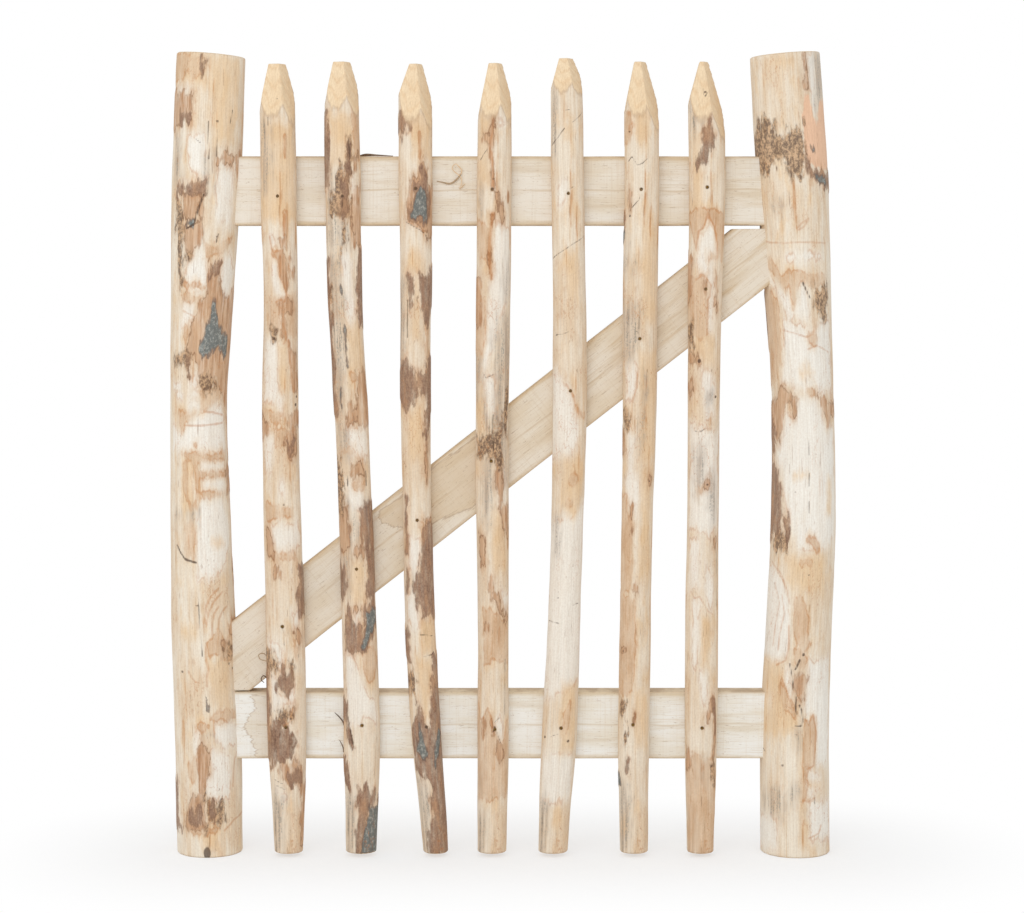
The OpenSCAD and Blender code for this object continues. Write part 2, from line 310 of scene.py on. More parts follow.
PATCHES["picket_1"] = [
    ("stain", (-95, 1100), (-40, 1098), (-30, 1040), (-45, 995), (-95, 990)),
    ("tan", (40, 1078), (52, 1074), (50, 1042), (40, 1046)),
    ("glow", (-90, 1095), (90, 1095), (95, 950), (-90, 950)),
    ("tan", (30, 962), (50, 964), (45, 928), (25, 930)),
    ("tan", (-110, 940), (-72, 936), (-75, 922), (-110, 920)),
    ("pale", (-50, 929), (-10, 929), (-14, 912), (-40, 908)),
    ("rust", (-10, 928), (40, 930), (50, 912), (30, 906), (5, 912)),
    ("tan", (-45, 905), (20, 908), (45, 895), (50, 850), (30, 846), (15, 866), (2, 870), (-2, 896)),
    ("rust", (55, 904), (80, 902), (75, 888), (50, 892)),
    ("rust", (50, 884), (85, 880), (85, 866), (55, 870)),
    ("pale", (-42, 897), (-5, 896), (0, 872), (10, 852), (42, 845), (42, 834), (0, 836), (-30, 846),
     (-42, 862)),
    ("tan", (-60, 838), (90, 845), (95, 782), (20, 778), (-20, 790), (-65, 792)),
    ("rust", (10, 806), (42, 812), (48, 778), (15, 782)),
    ("rust", (10, 906), (45, 896), (50, 852), (26, 850), (10, 872)),
    ("rust", (-20, 832), (70, 836), (70, 816), (10, 812)),
    ("bark", (45, 122), 36, 12),
    ("pale", (-12, 806), (10, 808), (8, 790), (-10, 788)),
    ("crust", (-50, 792), (-10, 788), (-20, 776), (-48, 780)),
    ("pale", (-85, 776), (-12, 776), (0, 752), (-10, 715), (20, 690), (20, 668), (-10, 676), (-85, 690)),
    ("glow", (-10, 772), (45, 772), (55, 705), (10, 700)),
    ("rust", (50, 778), (66, 762), (92, 750), (98, 704), (76, 706), (60, 735)),
    ("tan", (-55, 671), (2, 669), (2, 654), (-45, 655)),
    ("rust", (-95, 664), (-60, 650), (-50, 641), (-70, 633), (-95, 632)),
    ("tan", (-30, 641), (30, 646), (40, 630), (10, 618), (-5, 610), (-20, 624)),
    ("rust", (50, 666), (105, 672), (105, 650), (50, 645)),
    ("rust", (45, 641), (90, 651), (85, 626), (92, 610), (60, 600), (40, 611), (25, 622), (45, 630)),
    ("bark", (45, 622), (75, 628), (70, 608), (45, 612)),
    ("pale", (-85, 636), (-30, 634), (-35, 600), (-50, 580), (-85, 580)),
    ("pale", (0, 566), (12, 566), (28, 545), (10, 540), (-2, 550)),
    ("tan", (-80, 534), (-46, 531), (0, 526), (62, 526), (62, 510), (-20, 512), (-70, 506), (-80, 508)),
    ("pale", (-65, 505), (80, 506), (95, 480), (60, 456), (-40, 459), (-55, 480)),
    ("rust", (-78, 498), (-60, 490), (-45, 462), (-45, 450), (-78, 458)),
    ("tan", (-40, 460), (62, 459), (62, 451), (-40, 450)),
    ("rust", (-40, 430), 5, 8),
    ("rust", (-13, 430), 12, 8),
    ("bark", (85, 440), (120, 442), (120, 364), (82, 364), (74, 400)),
    ("pale", (44, 369), (76, 372), (80, 350), (60, 342), (50, 350)),
    ("rust", (50, 342), (92, 340), (86, 324), (60, 326)),
    ("tan", (46, 332), (62, 330), (66, 296), (52, 300)),
    ("pale", (-90, 331), (-30, 326), (-10, 310), (-10, 291), (-20, 280), (-35, 286), (-50, 312),
     (-85, 315)),
    ("crust", (-110, 313), (-60, 313), (-40, 300), (-30, 284), (-70, 280), (-110, 288)),
    ("crust", (5, 298), (50, 301), (66, 285), (30, 281)),
    ("bark", (2, 301), (10, 290), (10, 276), (36, 279), (40, 260), (20, 255), (10, 245), (-10, 252),
     (-42, 257), (-42, 270), (-20, 280)),
    ("bark", (-120, 282), (-86, 280), (-80, 220), (-84, 150), (-120, 145)),
    ("pale", (-70, 276), (-46, 270), (-40, 255), (0, 244), (30, 258), (52, 263), (42, 236), (0, 232),
     (-40, 222), (-72, 224)),
    ("crust", (-50, 223), (-20, 226), (10, 229), (30, 226), (36, 210), (20, 200), (-10, 198), (-30, 205)),
    ("rust", (30, 220), 14, 9),
    ("bark", (-90, 206), (-50, 206), (-20, 198), (10, 200), (30, 190), (56, 188), (56, 175), (36, 168),
     (30, 155), (0, 149), (-30, 149), (-90, 140)),
    ("crust", (-80, 190), (-20, 186), (40, 186), (30, 172), (-40, 170), (-85, 176)),
    ("rust", (-20, 146), (20, 140), (45, 152), (62, 141), (88, 130), (88, 105), (50, 102), (30, 115),
     (5, 108), (-10, 115), (-30, 130), (-45, 140)),
    ("pale", (-62, 101), (-10, 97), (10, 93), (-20, 92)),
    ("stain", (-90, 92), (-20, 90), (-30, 10), (-90, 10)),
    ("rust", (76, 112), (120, 116), (120, 20), (86, 18)),
]
PATCHES["picket_2"] = [
    ("bark", (-120, 1112), (-86, 1110), (-72, 1080), (-74, 1040), (-84, 1000), (-120, 990)),
    ("glow", (-70, 1105), (70, 1105), (70, 1030), (-70, 1030)),
    ("tan", (55, 1122), (95, 1124), (98, 1040), (70, 1046)),
    ("crust", (36, 1072), (50, 1071), (62, 1042), (50, 1018), (42, 990), (30, 955), (5, 958), (-30, 960),
     (-70, 950), (-70, 980), (-30, 1010), (-10, 1032), (25, 1030)),
    ("bark", (36, 1062), (50, 1060), (50, 1025), (36, 1000), (20, 962), (0, 955), (-15, 980), (10, 1015)),
    ("rust", (55, 1046), (85, 1052), (80, 1024), (60, 1022)),
    ("pale", (52, 1024), (66, 1024), (66, 998), (54, 1000)),
    ("rust", (62, 1000), (95, 1005), (95, 915), (60, 912), (52, 950)),
    ("stain", (-90, 1030), (-30, 1022), (30, 955), (42, 912), (-90, 905)),
    ("stain", (-95, 955), (-50, 950), (-46, 915), (-95, 905)),
    ("crust", (-10, 950), (24, 950), (22, 912), (-10, 908)),
    ("pale", (-10, 902), (30, 910), (56, 890), (40, 852), (60, 820), (34, 786), (10, 802), (0, 850)),
    ("stain", (-90, 905), (-10, 900), (-10, 800), (-90, 796)),
    ("crust", (-80, 838), 14, 18),
    ("stain", (-16, 840), 18, 18),
    ("grey", (-16, 846), 6, 8),
    ("bark", (82, 910), (120, 912), (120, 796), (84, 796), (72, 850)),
    ("bark", (-120, 900), (-86, 890), (-80, 840), (-86, 770), (-76, 700), (-78, 665), (-120, 660)),
    ("stain", (-86, 810), (-30, 806), (-6, 780), (-10, 735), (-30, 720), (-40, 668), (-86, 668)),
    ("grey", (-8, 796), (2, 796), (0, 738), (-8, 738)),
    ("grey", (-50, 690), 6, 14),
    ("glow", (5, 800), (90, 800), (90, 730), (5, 722)),
    ("tan", (10, 727), (52, 728), (52, 715), (10, 716)),
    ("rust", (55, 729), (90, 731), (100, 690), (100, 650), (60, 647), (50, 655), (30, 655), (20, 670),
     (30, 682), (50, 696)),
    ("rust", (-20, 682), (5, 684), (10, 656), (-20, 654)),
    ("pale", (-30, 650), (85, 646), (90, 604), (-20, 600)),
    ("stain", (-80, 652), (-10, 650), (-10, 598), (-80, 598)),
    ("tan", (-70, 615), (12, 616), (12, 609), (-70, 607)),
    ("rust", (15, 596), (40, 593), (60, 586), (66, 575), (40, 578), (10, 574), (-15, 574), (-22, 582)),
    ("crust", (-120, 602), (-72, 600), (-62, 560), (-70, 520), (-120, 516)),
    ("pale", (-40, 566), (50, 570), (60, 548), (40, 518), (0, 524), (-36, 540)),
    ("tan", (0, 563), (66, 566), (62, 554), (10, 553)),
    ("stain", (-95, 530), (-40, 534), (-10, 508), (30, 522), (60, 535), (120, 540), (120, 464), (50, 462),
     (-10, 456), (-40, 440), (-50, 395), (-120, 390)),
    ("rust", (-95, 524), (-50, 528), (-30, 500), (-40, 470), (-95, 460)),
    ("bark", (20, 516), (60, 532), (120, 538), (120, 468), (60, 470), (40, 490)),
    ("bark", (-120, 450), (-80, 446), (-62, 410), (-80, 392), (-120, 392)),
    ("stain", (-90, 520), (30, 518), (20, 470), (-30, 456), (-90, 460)),
    ("rust", (-5, 469), (40, 469), (46, 455), (20, 458), (0, 455), (-20, 460)),
    ("glow", (-25, 452), (40, 452), (60, 430), (40, 414), (36, 384), (-30, 380), (-42, 410)),
    ("bark", (66, 466), (120, 470), (120, 398), (62, 396)),
    ("rust", (5, 375), 16, 4),
    ("bark", (-62, 378), (-36, 376), (-20, 345), (0, 352), (30, 336), (10, 314), (-20, 309), (-80, 314),
     (-74, 345)),
    ("pale", (-30, 376), (6, 371), (-5, 344)),
    ("bark", (38, 376), (95, 384), (95, 345), (70, 330), (40, 314), (6, 314), (15, 326), (32, 344)),
    ("grey", (46, 371), (100, 378), (90, 350), (66, 336), (40, 321), (12, 318), (22, 326), (38, 342)),
    ("tan", (20, 320), (80, 320), (95, 300), (82, 270), (50, 265), (20, 284)),
    ("pale", (-85, 310), (-50, 311), (-20, 292), (10, 266), (50, 240), (50, 220), (0, 204), (-60, 200),
     (-85, 240)),
    ("pale", (30, 236), (70, 241), (90, 215), (80, 203), (50, 212), (30, 225)),
    ("bark", (-120, 246), (-82, 237), (-70, 210), (-54, 185), (-40, 168), (-60, 174), (-82, 200),
     (-120, 205)),
    ("bark", (-120, 156), (-84, 152), (-66, 104), (-84, 108), (-120, 130)),
    ("bark", (-10, 112), (10, 105), (40, 113), (60, 100), (90, 96), (110, 84), (60, 76), (50, 64), (30, 40),
     (10, 5), (-32, 3), (-32, 30), (-20, 60)),
    ("grey", (50, 79), (120, 79), (120, 5), (5, 5), (15, 30), (35, 55)),
    ("stain", (-90, 100), (-30, 96), (-36, 8), (-90, 8)),
]
PATCHES["picket_3"] = [
    ("bark", (-120, 1108), (-26, 1106), (-28, 1090), (-50, 1092), (-55, 1081), (-70, 1085), (-85, 1077),
     (-120, 1080)),
    ("glow", (-20, 1110), (90, 1110), (90, 1040), (-20, 1046)),
    ("tan", (20, 1080), (34, 1080), (36, 1038), (24, 1040)),
    ("rust", (55, 1043), (70, 1026), (75, 1005), (110, 1000), (110, 926), (78, 922), (60, 934), (30, 940),
     (0, 946), (-30, 950), (-52, 949), (-45, 970), (-40, 996), (-20, 1006), (0, 1016), (30, 1026)),
    ("bark", (45, 1030), (70, 1006), (85, 975), (74, 938), (40, 950), (0, 950), (-36, 953), (-20, 985),
     (10, 1006)),
    ("grey", (36, 1004), (56, 992), (70, 970), (66, 944), (50, 955), (30, 962), (0, 955), (-25, 956),
     (-10, 980), (12, 992)),
    ("glow", (10, 893), 50, 20),
    ("pale", (40, 900), 18, 11),
    ("stain", (-110, 865), (-72, 860), (-70, 690), (-110, 690)),
    ("bark", (-50, 872), (-14, 866), (-8, 845), (-20, 814), (-30, 830), (-54, 848)),
    ("bark", (28, 871), (60, 870), (110, 888), (110, 826), (76, 793), (55, 803), (30, 840), (20, 855)),
    ("glow", (-5, 862), (20, 862), (20, 780), (-10, 780)),
    ("tan", (62, 800), (90, 802), (90, 716), (66, 722)),
    ("bark", (-120, 736), (-90, 734), (-50, 746), (-40, 730), (-20, 736), (-10, 725), (30, 720), (35, 736),
     (42, 722), (60, 740), (120, 752), (120, 688), (92, 650), (75, 640), (70, 616), (58, 690), (35, 705),
     (20, 700), (0, 690), (-10, 680), (-30, 675), (-50, 669), (-80, 684), (-120, 690)),
    ("stain", (-70, 694), 30, 18),
    ("rust", (62, 690), (80, 690), (82, 600), (74, 566), (66, 580)),
    ("glow", (-40, 668), (60, 690), (60, 600), (-50, 600)),
    ("bark", (-76, 542), (-66, 541), (-63, 500), (-66, 458), (-80, 460)),
    ("rust", (30, 514), (60, 510), (110, 518), (110, 504), (60, 503)),
    ("tan", (0, 516), (50, 505), (40, 488), (10, 498)),
    ("bark", (48, 496), (80, 504), (120, 502), (120, 361), (60, 365), (20, 365), (5, 370), (-5, 380),
     (-20, 395), (-34, 412), (-10, 430), (10, 435), (22, 450), (40, 470)),
    ("pale", (-62, 484), (22, 484), (10, 445), (-20, 424), (-62, 438)),
    ("stain", (-20, 420), 12, 14),
    ("bark", (-78, 434), (-64, 432), (-66, 398), (-82, 396)),
    ("pale", (-85, 402), (-36, 404), (-10, 372), (0, 350), (-50, 344), (-80, 360)),
    ("glow", (10, 360), (95, 360), (95, 306), (0, 306)),
    ("bark", (-120, 348), (-78, 342), (-68, 302), (-80, 296), (-120, 296)),
    ("crust", (-110, 284), (-50, 284), (-35, 265), (-50, 248), (-110, 248)),
    ("glow", (-30, 306), (75, 304), (55, 250), (30, 205), (0, 212), (-28, 262)),
    ("bark", (76, 306), (120, 310), (120, 3), (-64, 3), (-66, 25), (-30, 40), (0, 60), (10, 90), (16, 110),
     (-10, 125), (-40, 122), (-70, 130), (-90, 140), (-88, 190), (-70, 206), (-45, 225), (-28, 240),
     (-10, 215), (10, 200), (30, 198), (45, 225), (60, 260)),
    ("grey", (-30, 202), (-14, 185), (2, 170), (2, 154), (-30, 154), (-62, 163), (-50, 180)),
    ("grey", (80, 196), (95, 188), (82, 165), (62, 150), (50, 134), (40, 129), (55, 165), (65, 180)),
    ("tan", (76, 110), (86, 110), (88, 30), (78, 34)),
    ("stain", (-90, 118), (-10, 112), (0, 70), (-40, 20), (-90, 8)),
]
PATCHES["picket_4"] = [
    ("glow", (-90, 1106), (-20, 1106), (-10, 1000), (-90, 1000)),
    ("rust", (-16, 1110), (-4, 1110), (-5, 1070), (-12, 1050), (-2, 1018), (-10, 1016), (-22, 1040),
     (-42, 1052), (-40, 1062), (-65, 1072), (-60, 1078), (-30, 1074), (-18, 1085)),
    ("rust", (-8, 1012), (8, 1012), (6, 996), (-16, 994)),
    ("pale", (45, 1093), 20, 7),
    ("stain", (-85, 1004), (-60, 1002), (-55, 940), (-80, 930)),
    ("rust", (0, 1000), (14, 996), (40, 986), (30, 970), (14, 984), (0, 986)),
    ("rust", (36, 976), (50, 972), (60, 948), (42, 950)),
    ("rust", (80, 988), 6, 8),
    ("tan", (-95, 955), (-50, 950), (-20, 930), (-30, 890), (-60, 895), (-95, 905)),
    ("glow", (-40, 960), (-5, 958), (-10, 868), (-50, 880)),
    ("rust", (-12, 958), (0, 956), (-16, 925), (-22, 900), (-10, 868), (-20, 874), (-30, 905)),
    ("pale", (10, 952), (90, 946), (95, 870), (80, 840), (50, 812), (30, 790), (0, 760), (-30, 740),
     (-62, 722), (-50, 790), (-30, 832), (-10, 870), (-8, 902), (4, 930)),
    ("stain", (75, 866), 20, 36),
    ("rust", (-110, 872), (-76, 866), (-60, 820), (-74, 798), (-110, 800)),
    ("tan", (-90, 850), (-40, 836), (-46, 780), (-70, 756), (-110, 760)),
    ("stain", (-110, 760), (-70, 752), (-60, 712), (-90, 690), (-110, 700)),
    ("stain", (12, 772), 22, 14),
    ("crust", (60, 690), (90, 700), (90, 640), (50, 640)),
    ("stain", (20, 805), (95, 815), (95, 560), (30, 560), (20, 660)),
    ("stain", (-60, 694), (-40, 690), (-20, 648), (-36, 640)),
    ("pale", (-50, 724), (20, 722), (14, 672), (-30, 664)),
    ("glow", (-90, 690), (-50, 686), (-40, 636), (-90, 630)),
    ("crust", (-90, 630), (-40, 634), (10, 640), (60, 642), (60, 585), (10, 590), (-10, 606), (-50, 598),
     (-90, 600)),
    ("stain", (-60, 600), (0, 596), (10, 556), (-10, 520), (-10, 502), (-50, 497), (-60, 540)),
    ("rust", (20, 585), (50, 590), (70, 555), (50, 520), (36, 540)),
    ("pale", (60, 588), (80, 586), (86, 545), (66, 540)),
    ("rust", (44, 526), (95, 530), (95, 478), (66, 488)),
    ("glow", (0, 525), (85, 520), (85, 430), (10, 432), (-10, 470)),
    ("rust", (-80, 486), (-50, 480), (-44, 442), (-75, 440)),
    ("rust", (-26, 424), (0, 424), (2, 402), (30, 396), (50, 376), (95, 362), (82, 350), (62, 362),
     (30, 380), (0, 390), (-24, 402)),
    ("pale", (55, 400), (95, 392), (95, 372), (78, 371)),
    ("tan", (-62, 376), (20, 372), (90, 346), (90, 292), (0, 300), (-55, 292)),
    ("rust", (-42, 348), 14, 6),
    ("tan", (-95, 236), (-76, 209), (-60, 212), (-34, 228), (-10, 210), (-4, 190), (10, 200), (30, 186),
     (50, 175), (72, 180), (80, 200), (95, 214), (95, 92), (-95, 88)),
    ("rust", (-72, 209), (-52, 212), (-50, 186), (-64, 184)),
    ("rust", (-12, 206), (-2, 190), (12, 196), (10, 184), (-10, 184)),
    ("pale", (10, 206), (40, 212), (72, 200), (64, 180), (46, 175)),
    ("rust", (45, 160), 20, 16),
    ("stain", (-82, 116), 16, 16),
    ("stain", (-90, 60), (-50, 60), (-50, 8), (-90, 8)),
]
PATCHES["picket_5"] = [
    ("glow", (20, 1100), (36, 1100), (36, 1050), (20, 1052)),
    ("stain", (-95, 1140), (-60, 1136), (-66, 1046), (-95, 1046)),
    ("pale", (-60, 1006), (-10, 1006), (-10, 978), (-60, 976)),
    ("glow", (20, 998), (50, 1000), (45, 984), (70, 962), (40, 966), (20, 984)),
    ("glow", (-20, 905), (50, 910), (50, 835), (-10, 835)),
    ("pale", (-100, 735), (-70, 730), (-30, 710), (0, 702), (20, 690), (34, 680), (50, 670), (60, 640),
     (30, 606), (-100, 598)),
    ("tan", (20, 694), (34, 684), (56, 676), (86, 664), (70, 658), (50, 664), (30, 676)),
    ("glow", (-30, 598), (90, 604), (85, 545), (50, 510), (30, 505), (-40, 535)),
    ("tan", (30, 570), 30, 8),
    ("tan", (10, 536), 20, 7),
    ("stain", (-85, 520), (-50, 516), (-44, 456), (-80, 450)),
    ("pale", (-110, 500), (0, 515), (110, 540), (110, 270), (0, 250), (-110, 230)),
    ("glow", (0, 262), (85, 262), (85, 160), (10, 160)),
    ("tan", (10, 220), (50, 236), (50, 196), (20, 186)),
    ("pale", (-90, 156), (90, 156), (90, 86), (-90, 86)),
    ("stain", (-95, 90), (-50, 86), (-50, 10), (-95, 10)),
    ("glow", (15, 58), 34, 15),
]
PATCHES["picket_6"] = [
    ("glow", (-60, 1124), (50, 1124), (50, 1090), (10, 1052), (-30, 1060)),
    ("tan", (-110, 1108), (-70, 1108), (-55, 1088), (-66, 1072), (-110, 1060)),
    ("pale", (-60, 1090), 14, 7),
    ("glow", (10, 1078), (40, 1080), (30, 1056), (0, 1052)),
    ("stain", (-14, 1124), 8, 12),
    ("rust", (-74, 993), (-64, 990), (-66, 972), (-74, 974)),
    ("bark", (-120, 968), (-90, 965), (-88, 950), (-120, 948)),
    ("grey", (-120, 938), (-96, 936), (-96, 918), (-120, 918)),
    ("stain", (-76, 913), 12, 6),
    ("stain", (-42, 884), 10, 9),
    ("stain", (-90, 890), 12, 14),
    ("glow", (0, 950), (90, 950), (90, 800), (10, 800)),
    ("stain", (-95, 836), (-20, 830), (-10, 786), (-30, 750), (-95, 748)),
    ("stain", (-16, 818), (-2, 816), (-6, 790), (-24, 780)),
    ("pale", (-80, 736), (-34, 740), (-20, 722), (-30, 702), (-50, 685), (-80, 690)),
    ("glow", (-10, 760), (90, 760), (90, 600), (10, 600)),
    ("stain", (30, 700), 12, 30),
    ("stain", (5, 640), 12, 28),
    ("crust", (-95, 668), (-66, 664), (-62, 646), (-90, 640)),
    ("rust", (-110, 648), (-84, 640), (-80, 612), (-110, 606)),
    ("pale", (-72, 640), (-30, 636), (-30, 590), (0, 566), (6, 540), (-20, 524), (-62, 530), (-85, 552),
     (-72, 590)),
    ("rust", (66, 568), 10, 6),
    ("tan", (-110, 548), (-76, 545), (-60, 508), (-40, 528), (-34, 480), (-30, 420), (-50, 400),
     (-110, 410)),
    ("rust", (-48, 528), (-36, 526), (-36, 488), (-46, 490)),
    ("glow", (20, 585), (80, 580), (80, 420), (10, 420)),
    ("rust", (-10, 406), 12, 8),
    ("tan", (-110, 400), (-60, 396), (-10, 384), (0, 310), (-20, 250), (-70, 245), (-110, 255)),
    ("rust", (-76, 312), 16, 5),
    ("rust", (5, 214), 6, 8),
    ("crust", (-90, 244), (-60, 238), (-56, 214), (-86, 210)),
    ("crust", (-66, 186), (-36, 188), (-36, 172), (-60, 170)),
    ("bark", (-60, 152), (-42, 146), (-30, 130), (-44, 132), (-60, 142)),
    ("grey", (-120, 130), (-94, 126), (-86, 108), (-120, 106)),
    ("stain", (-95, 112), (-40, 106), (-20, 60), (-40, 12), (-95, 12)),
    ("glow", (-72, 50), 20, 16),
    ("glow", (0, 250), (80, 250), (80, 170), (0, 170)),
]
PATCHES["picket_7"] = [
    ("stain", (-95, 1122), (-30, 1118), (-20, 1086), (-95, 1080)),
    ("glow", (-80, 1080), (-30, 1080), (-30, 960), (-80, 960)),
    ("bark", (5, 1104), (20, 1090), (36, 1080), (30, 1064), (10, 1050), (-10, 1038), (-30, 1034),
     (-50, 1027), (-62, 1035), (-40, 1056), (-30, 1070), (-20, 1080), (0, 1090)),
    ("tan", (-95, 965), (-50, 968), (-10, 972), (0, 962), (-20, 940), (-50, 935), (-60, 907), (-72, 920),
     (-95, 950)),
    ("tan", (0, 964), (30, 966), (90, 960), (90, 890), (60, 894), (55, 920), (40, 942), (20, 950)),
    ("pale", (-50, 930), (-10, 938), (10, 956), (40, 938), (50, 905), (40, 870), (46, 830), (42, 785),
     (15, 785), (15, 850), (0, 866), (-30, 862), (-60, 888)),
    ("tan", (8, 906), (60, 902), (60, 892), (10, 896)),
    ("rust", (-110, 906), (-86, 902), (-80, 840), (-110, 830)),
    ("rust", (52, 878), (66, 874), (66, 822), (54, 830)),
    ("tan", (-90, 872), (-60, 864), (-20, 872), (10, 863), (30, 856), (25, 840), (10, 835), (10, 784),
     (-30, 778), (-90, 786)),
    ("rust", (-12, 862), (4, 864), (6, 846), (-10, 842)),
    ("crust", (-100, 800), (-76, 796), (-70, 770), (-100, 768)),
    ("glow", (-80, 784), (60, 784), (60, 738), (-80, 740)),
    ("rust", (-82, 750), 14, 6),
    ("rust", (-36, 745), 20, 8),
    ("rust", (-82, 708), 17, 12),
    ("pale", (-20, 732), (40, 730), (66, 706), (66, 664), (10, 660), (-10, 690)),
    ("stain", (36, 690), 28, 11),
    ("pale", (-90, 652), (90, 640), (90, 505), (30, 484), (-90, 500)),
    ("stain", (-70, 612), (10, 620), (0, 560), (-60, 548)),
    ("stain", (50, 540), 30, 40),
    ("rust", (20, 562), 14, 6),
    ("tan", (-30, 552), 14, 4),
    ("rust", (76, 480), 10, 6),
    ("pale", (-85, 480), (-20, 480), (-20, 410), (-80, 405)),
    ("pale", (14, 446), (60, 424), (55, 374), (30, 385), (10, 410)),
    ("pale", (-60, 392), (-20, 388), (-20, 326), (-42, 280), (-66, 300)),
    ("glow", (-10, 368), (50, 362), (40, 290), (0, 296)),
    ("pale", (-20, 282), (25, 277), (30, 240), (10, 224), (-10, 250)),
    ("rust", (55, 240), (76, 247), (80, 230), (88, 200), (82, 150), (70, 128), (76, 190), (66, 225),
     (45, 225), (40, 204), (20, 199), (25, 215), (36, 230)),
    ("bark", (62, 238), (78, 240), (84, 205), (78, 192), (72, 222)),
    ("tan", (-95, 156), (-50, 160), (10, 148), (70, 150), (95, 130), (95, 6), (-95, 6)),
    ("crust", (56, 142), (84, 144), (84, 112), (60, 114)),
    ("rust", (-95, 160), (-60, 158), (-60, 140), (-95, 136)),
    ("stain", (-40, 150), (40, 148), (40, 112), (-30, 112)),
    ("stain", (-90, 70), (-20, 70), (-20, 8), (-90, 8)),
]

# Knots and other dark dots of each pole as (place across, height, radius in mm)
KNOTS = {
    "left_post": [(36, 1101, 1.8), (-60, 280, 2.2), (82, 292, 1.8), (90, 284, 1.8), (50, 932, 1.5)],
    "right_post": [(6, 309, 2.2), (-45, 141, 1.8), (-38, 552, 0.9), (12, 428, 1.2), (-8, 188, 1.2)],
    "picket_1": [(5, 1129, 1.0), (-30, 778, 2.2), (88, 680, 2.4), (92, 692, 1.8), (15, 532, 1.6),
        (26, 211, 1.8)],
    "picket_4": [(-3, 1012, 1.4)],
    "picket_5": [(-80, 783, 1.6), (-45, 393, 1.2), (50, 177, 2.2), (-85, 182, 1.8)],
    "picket_6": [(-75, 1081, 1.6), (-70, 958, 1.8), (65, 567, 1.5), (-78, 312, 1.6)],
    "picket_7": [(-10, 1139, 1.6), (-36, 745, 3.0), (70, 692, 2.6), (20, 562, 1.6), (-62, 578, 1.0)],
}

# Cracks and dark lines of each pole as (half width in mm, points)
CRACKS = {
    "left_post": [
        (0.8, (12, 1100), (12, 1072), (16, 1045)),
        (0.9, (36, 1090), (37, 1050)),
        (0.7, (75, 1120), (70, 1100)),
        (0.7, (-26, 1073), (-10, 1068)),
        (1.3, (5, 992), (-10, 968), (-20, 948), (-42, 941)),
        (1.0, (52, 936), (49, 924)),
        (1.4, (-70, 470), (-57, 459), (-42, 450)),
        (1.6, (-40, 450), (-6, 446)),
        (0.7, (3, 405), (0, 375), (2, 340), (6, 305)),
        (0.8, (-10, 382), (0, 380)),
    ],
    "right_post": [
        (0.9, (-69, 981), (-69, 962)),
        (1.3, (4, 862), (14, 850), (25, 838)),
        (0.5, (6, 628), (6, 606)),
        (0.5, (6, 580), (5, 560)),
        (0.5, (6, 538), (6, 520)),
        (0.7, (-8, 442), (-8, 415)),
        (1.5, (-5, 301), (-12, 292), (-16, 287)),
        (0.9, (-33, 295), (-25, 275), (-20, 256)),
        (1.2, (-10, 246), (-12, 232), (-8, 219)),
        (1.4, (0, 233), (6, 226), (10, 212), (8, 202)),
        (0.8, (-14, 202), (6, 201)),
        (1.0, (-102, 173), (-98, 165), (-90, 158)),
        (0.8, (46, 95), (47, 82)),
    ],
    "picket_1": [
        (0.6, (-50, 1102), (-50, 1090)),
        (0.6, (-30, 1103), (-32, 1092)),
        (0.6, (-5, 1103), (-6, 1088)),
        (0.6, (-6, 350), (-2, 322)),
        (0.8, (6, 296), (4, 270)),
        (0.7, (-100, 352), (-92, 330)),
        (0.5, (-70, 118), (-20, 112)),
        (0.5, (-66, 110), (-10, 104)),
    ],
    "picket_2": [
        (0.8, (40, 1070), (44, 1040)),
        (0.7, (-30, 576), (-36, 560)),
        (0.8, (76, 582), (76, 560)),
        (0.9, (4, 985), (-2, 970)),
        (0.7, (-80, 226), (-60, 196), (-46, 172)),
        (0.6, (-50, 186), (-36, 166)),
    ],
    "picket_3": [
        (0.9, (-52, 835), (-52, 780)),
        (0.8, (-55, 949), (-10, 943), (20, 939), (60, 932), (80, 920)),
        (0.5, (-78, 594), (-70, 588), (-76, 582)),
        (0.6, (2, 338), (40, 337), (80, 335)),
        (0.6, (85, 312), (70, 307), (20, 305)),
    ],
    "picket_4": [
        (0.5, (-60, 729), (-40, 720), (6, 725)),
        (1.0, (5, 666), (2, 640), (10, 612)),
        (0.5, (-80, 1040), (-40, 1056)),
        (0.6, (76, 300), (78, 215)),
        (0.6, (10, 206), (40, 212)),
        (0.6, (-4, 190), (12, 200), (30, 186), (50, 175)),
    ],
    "picket_5": [
        (0.4, (-10, 1112), (15, 1113)),
        (0.5, (35, 1095), (60, 1100), (95, 1110)),
        (0.5, (-95, 1060), (-60, 1072), (-15, 1086)),
        (0.5, (-95, 896), (-30, 908), (30, 918), (95, 930)),
        (0.4, (-80, 784), (-40, 785), (-10, 788)),
        (0.5, (5, 996), (40, 1002)),
        (0.8, (-95, 357), (-60, 356), (-30, 354)),
        (0.5, (50, 382), (80, 384)),
        (0.4, (-50, 184), (-10, 188)),
    ],
    "picket_6": [
        (0.5, (-80, 1038), (-60, 1045), (-30, 1032), (0, 1035), (30, 1042)),
        (0.5, (-10, 990), (-20, 982), (-60, 970)),
        (0.7, (-10, 812), (-12, 792)),
        (0.5, (-30, 790), (-5, 784)),
    ],
    "picket_7": [
        (0.7, (92, 1030), (92, 950)),
        (0.6, (-60, 641), (-30, 640), (5, 645)),
        (0.5, (-30, 612), (-30, 596)),
        (0.7, (84, 468), (84, 380)),
        (0.5, (-20, 1144), (-20, 1136), (-10, 1132), (0, 1138)),
    ],
}

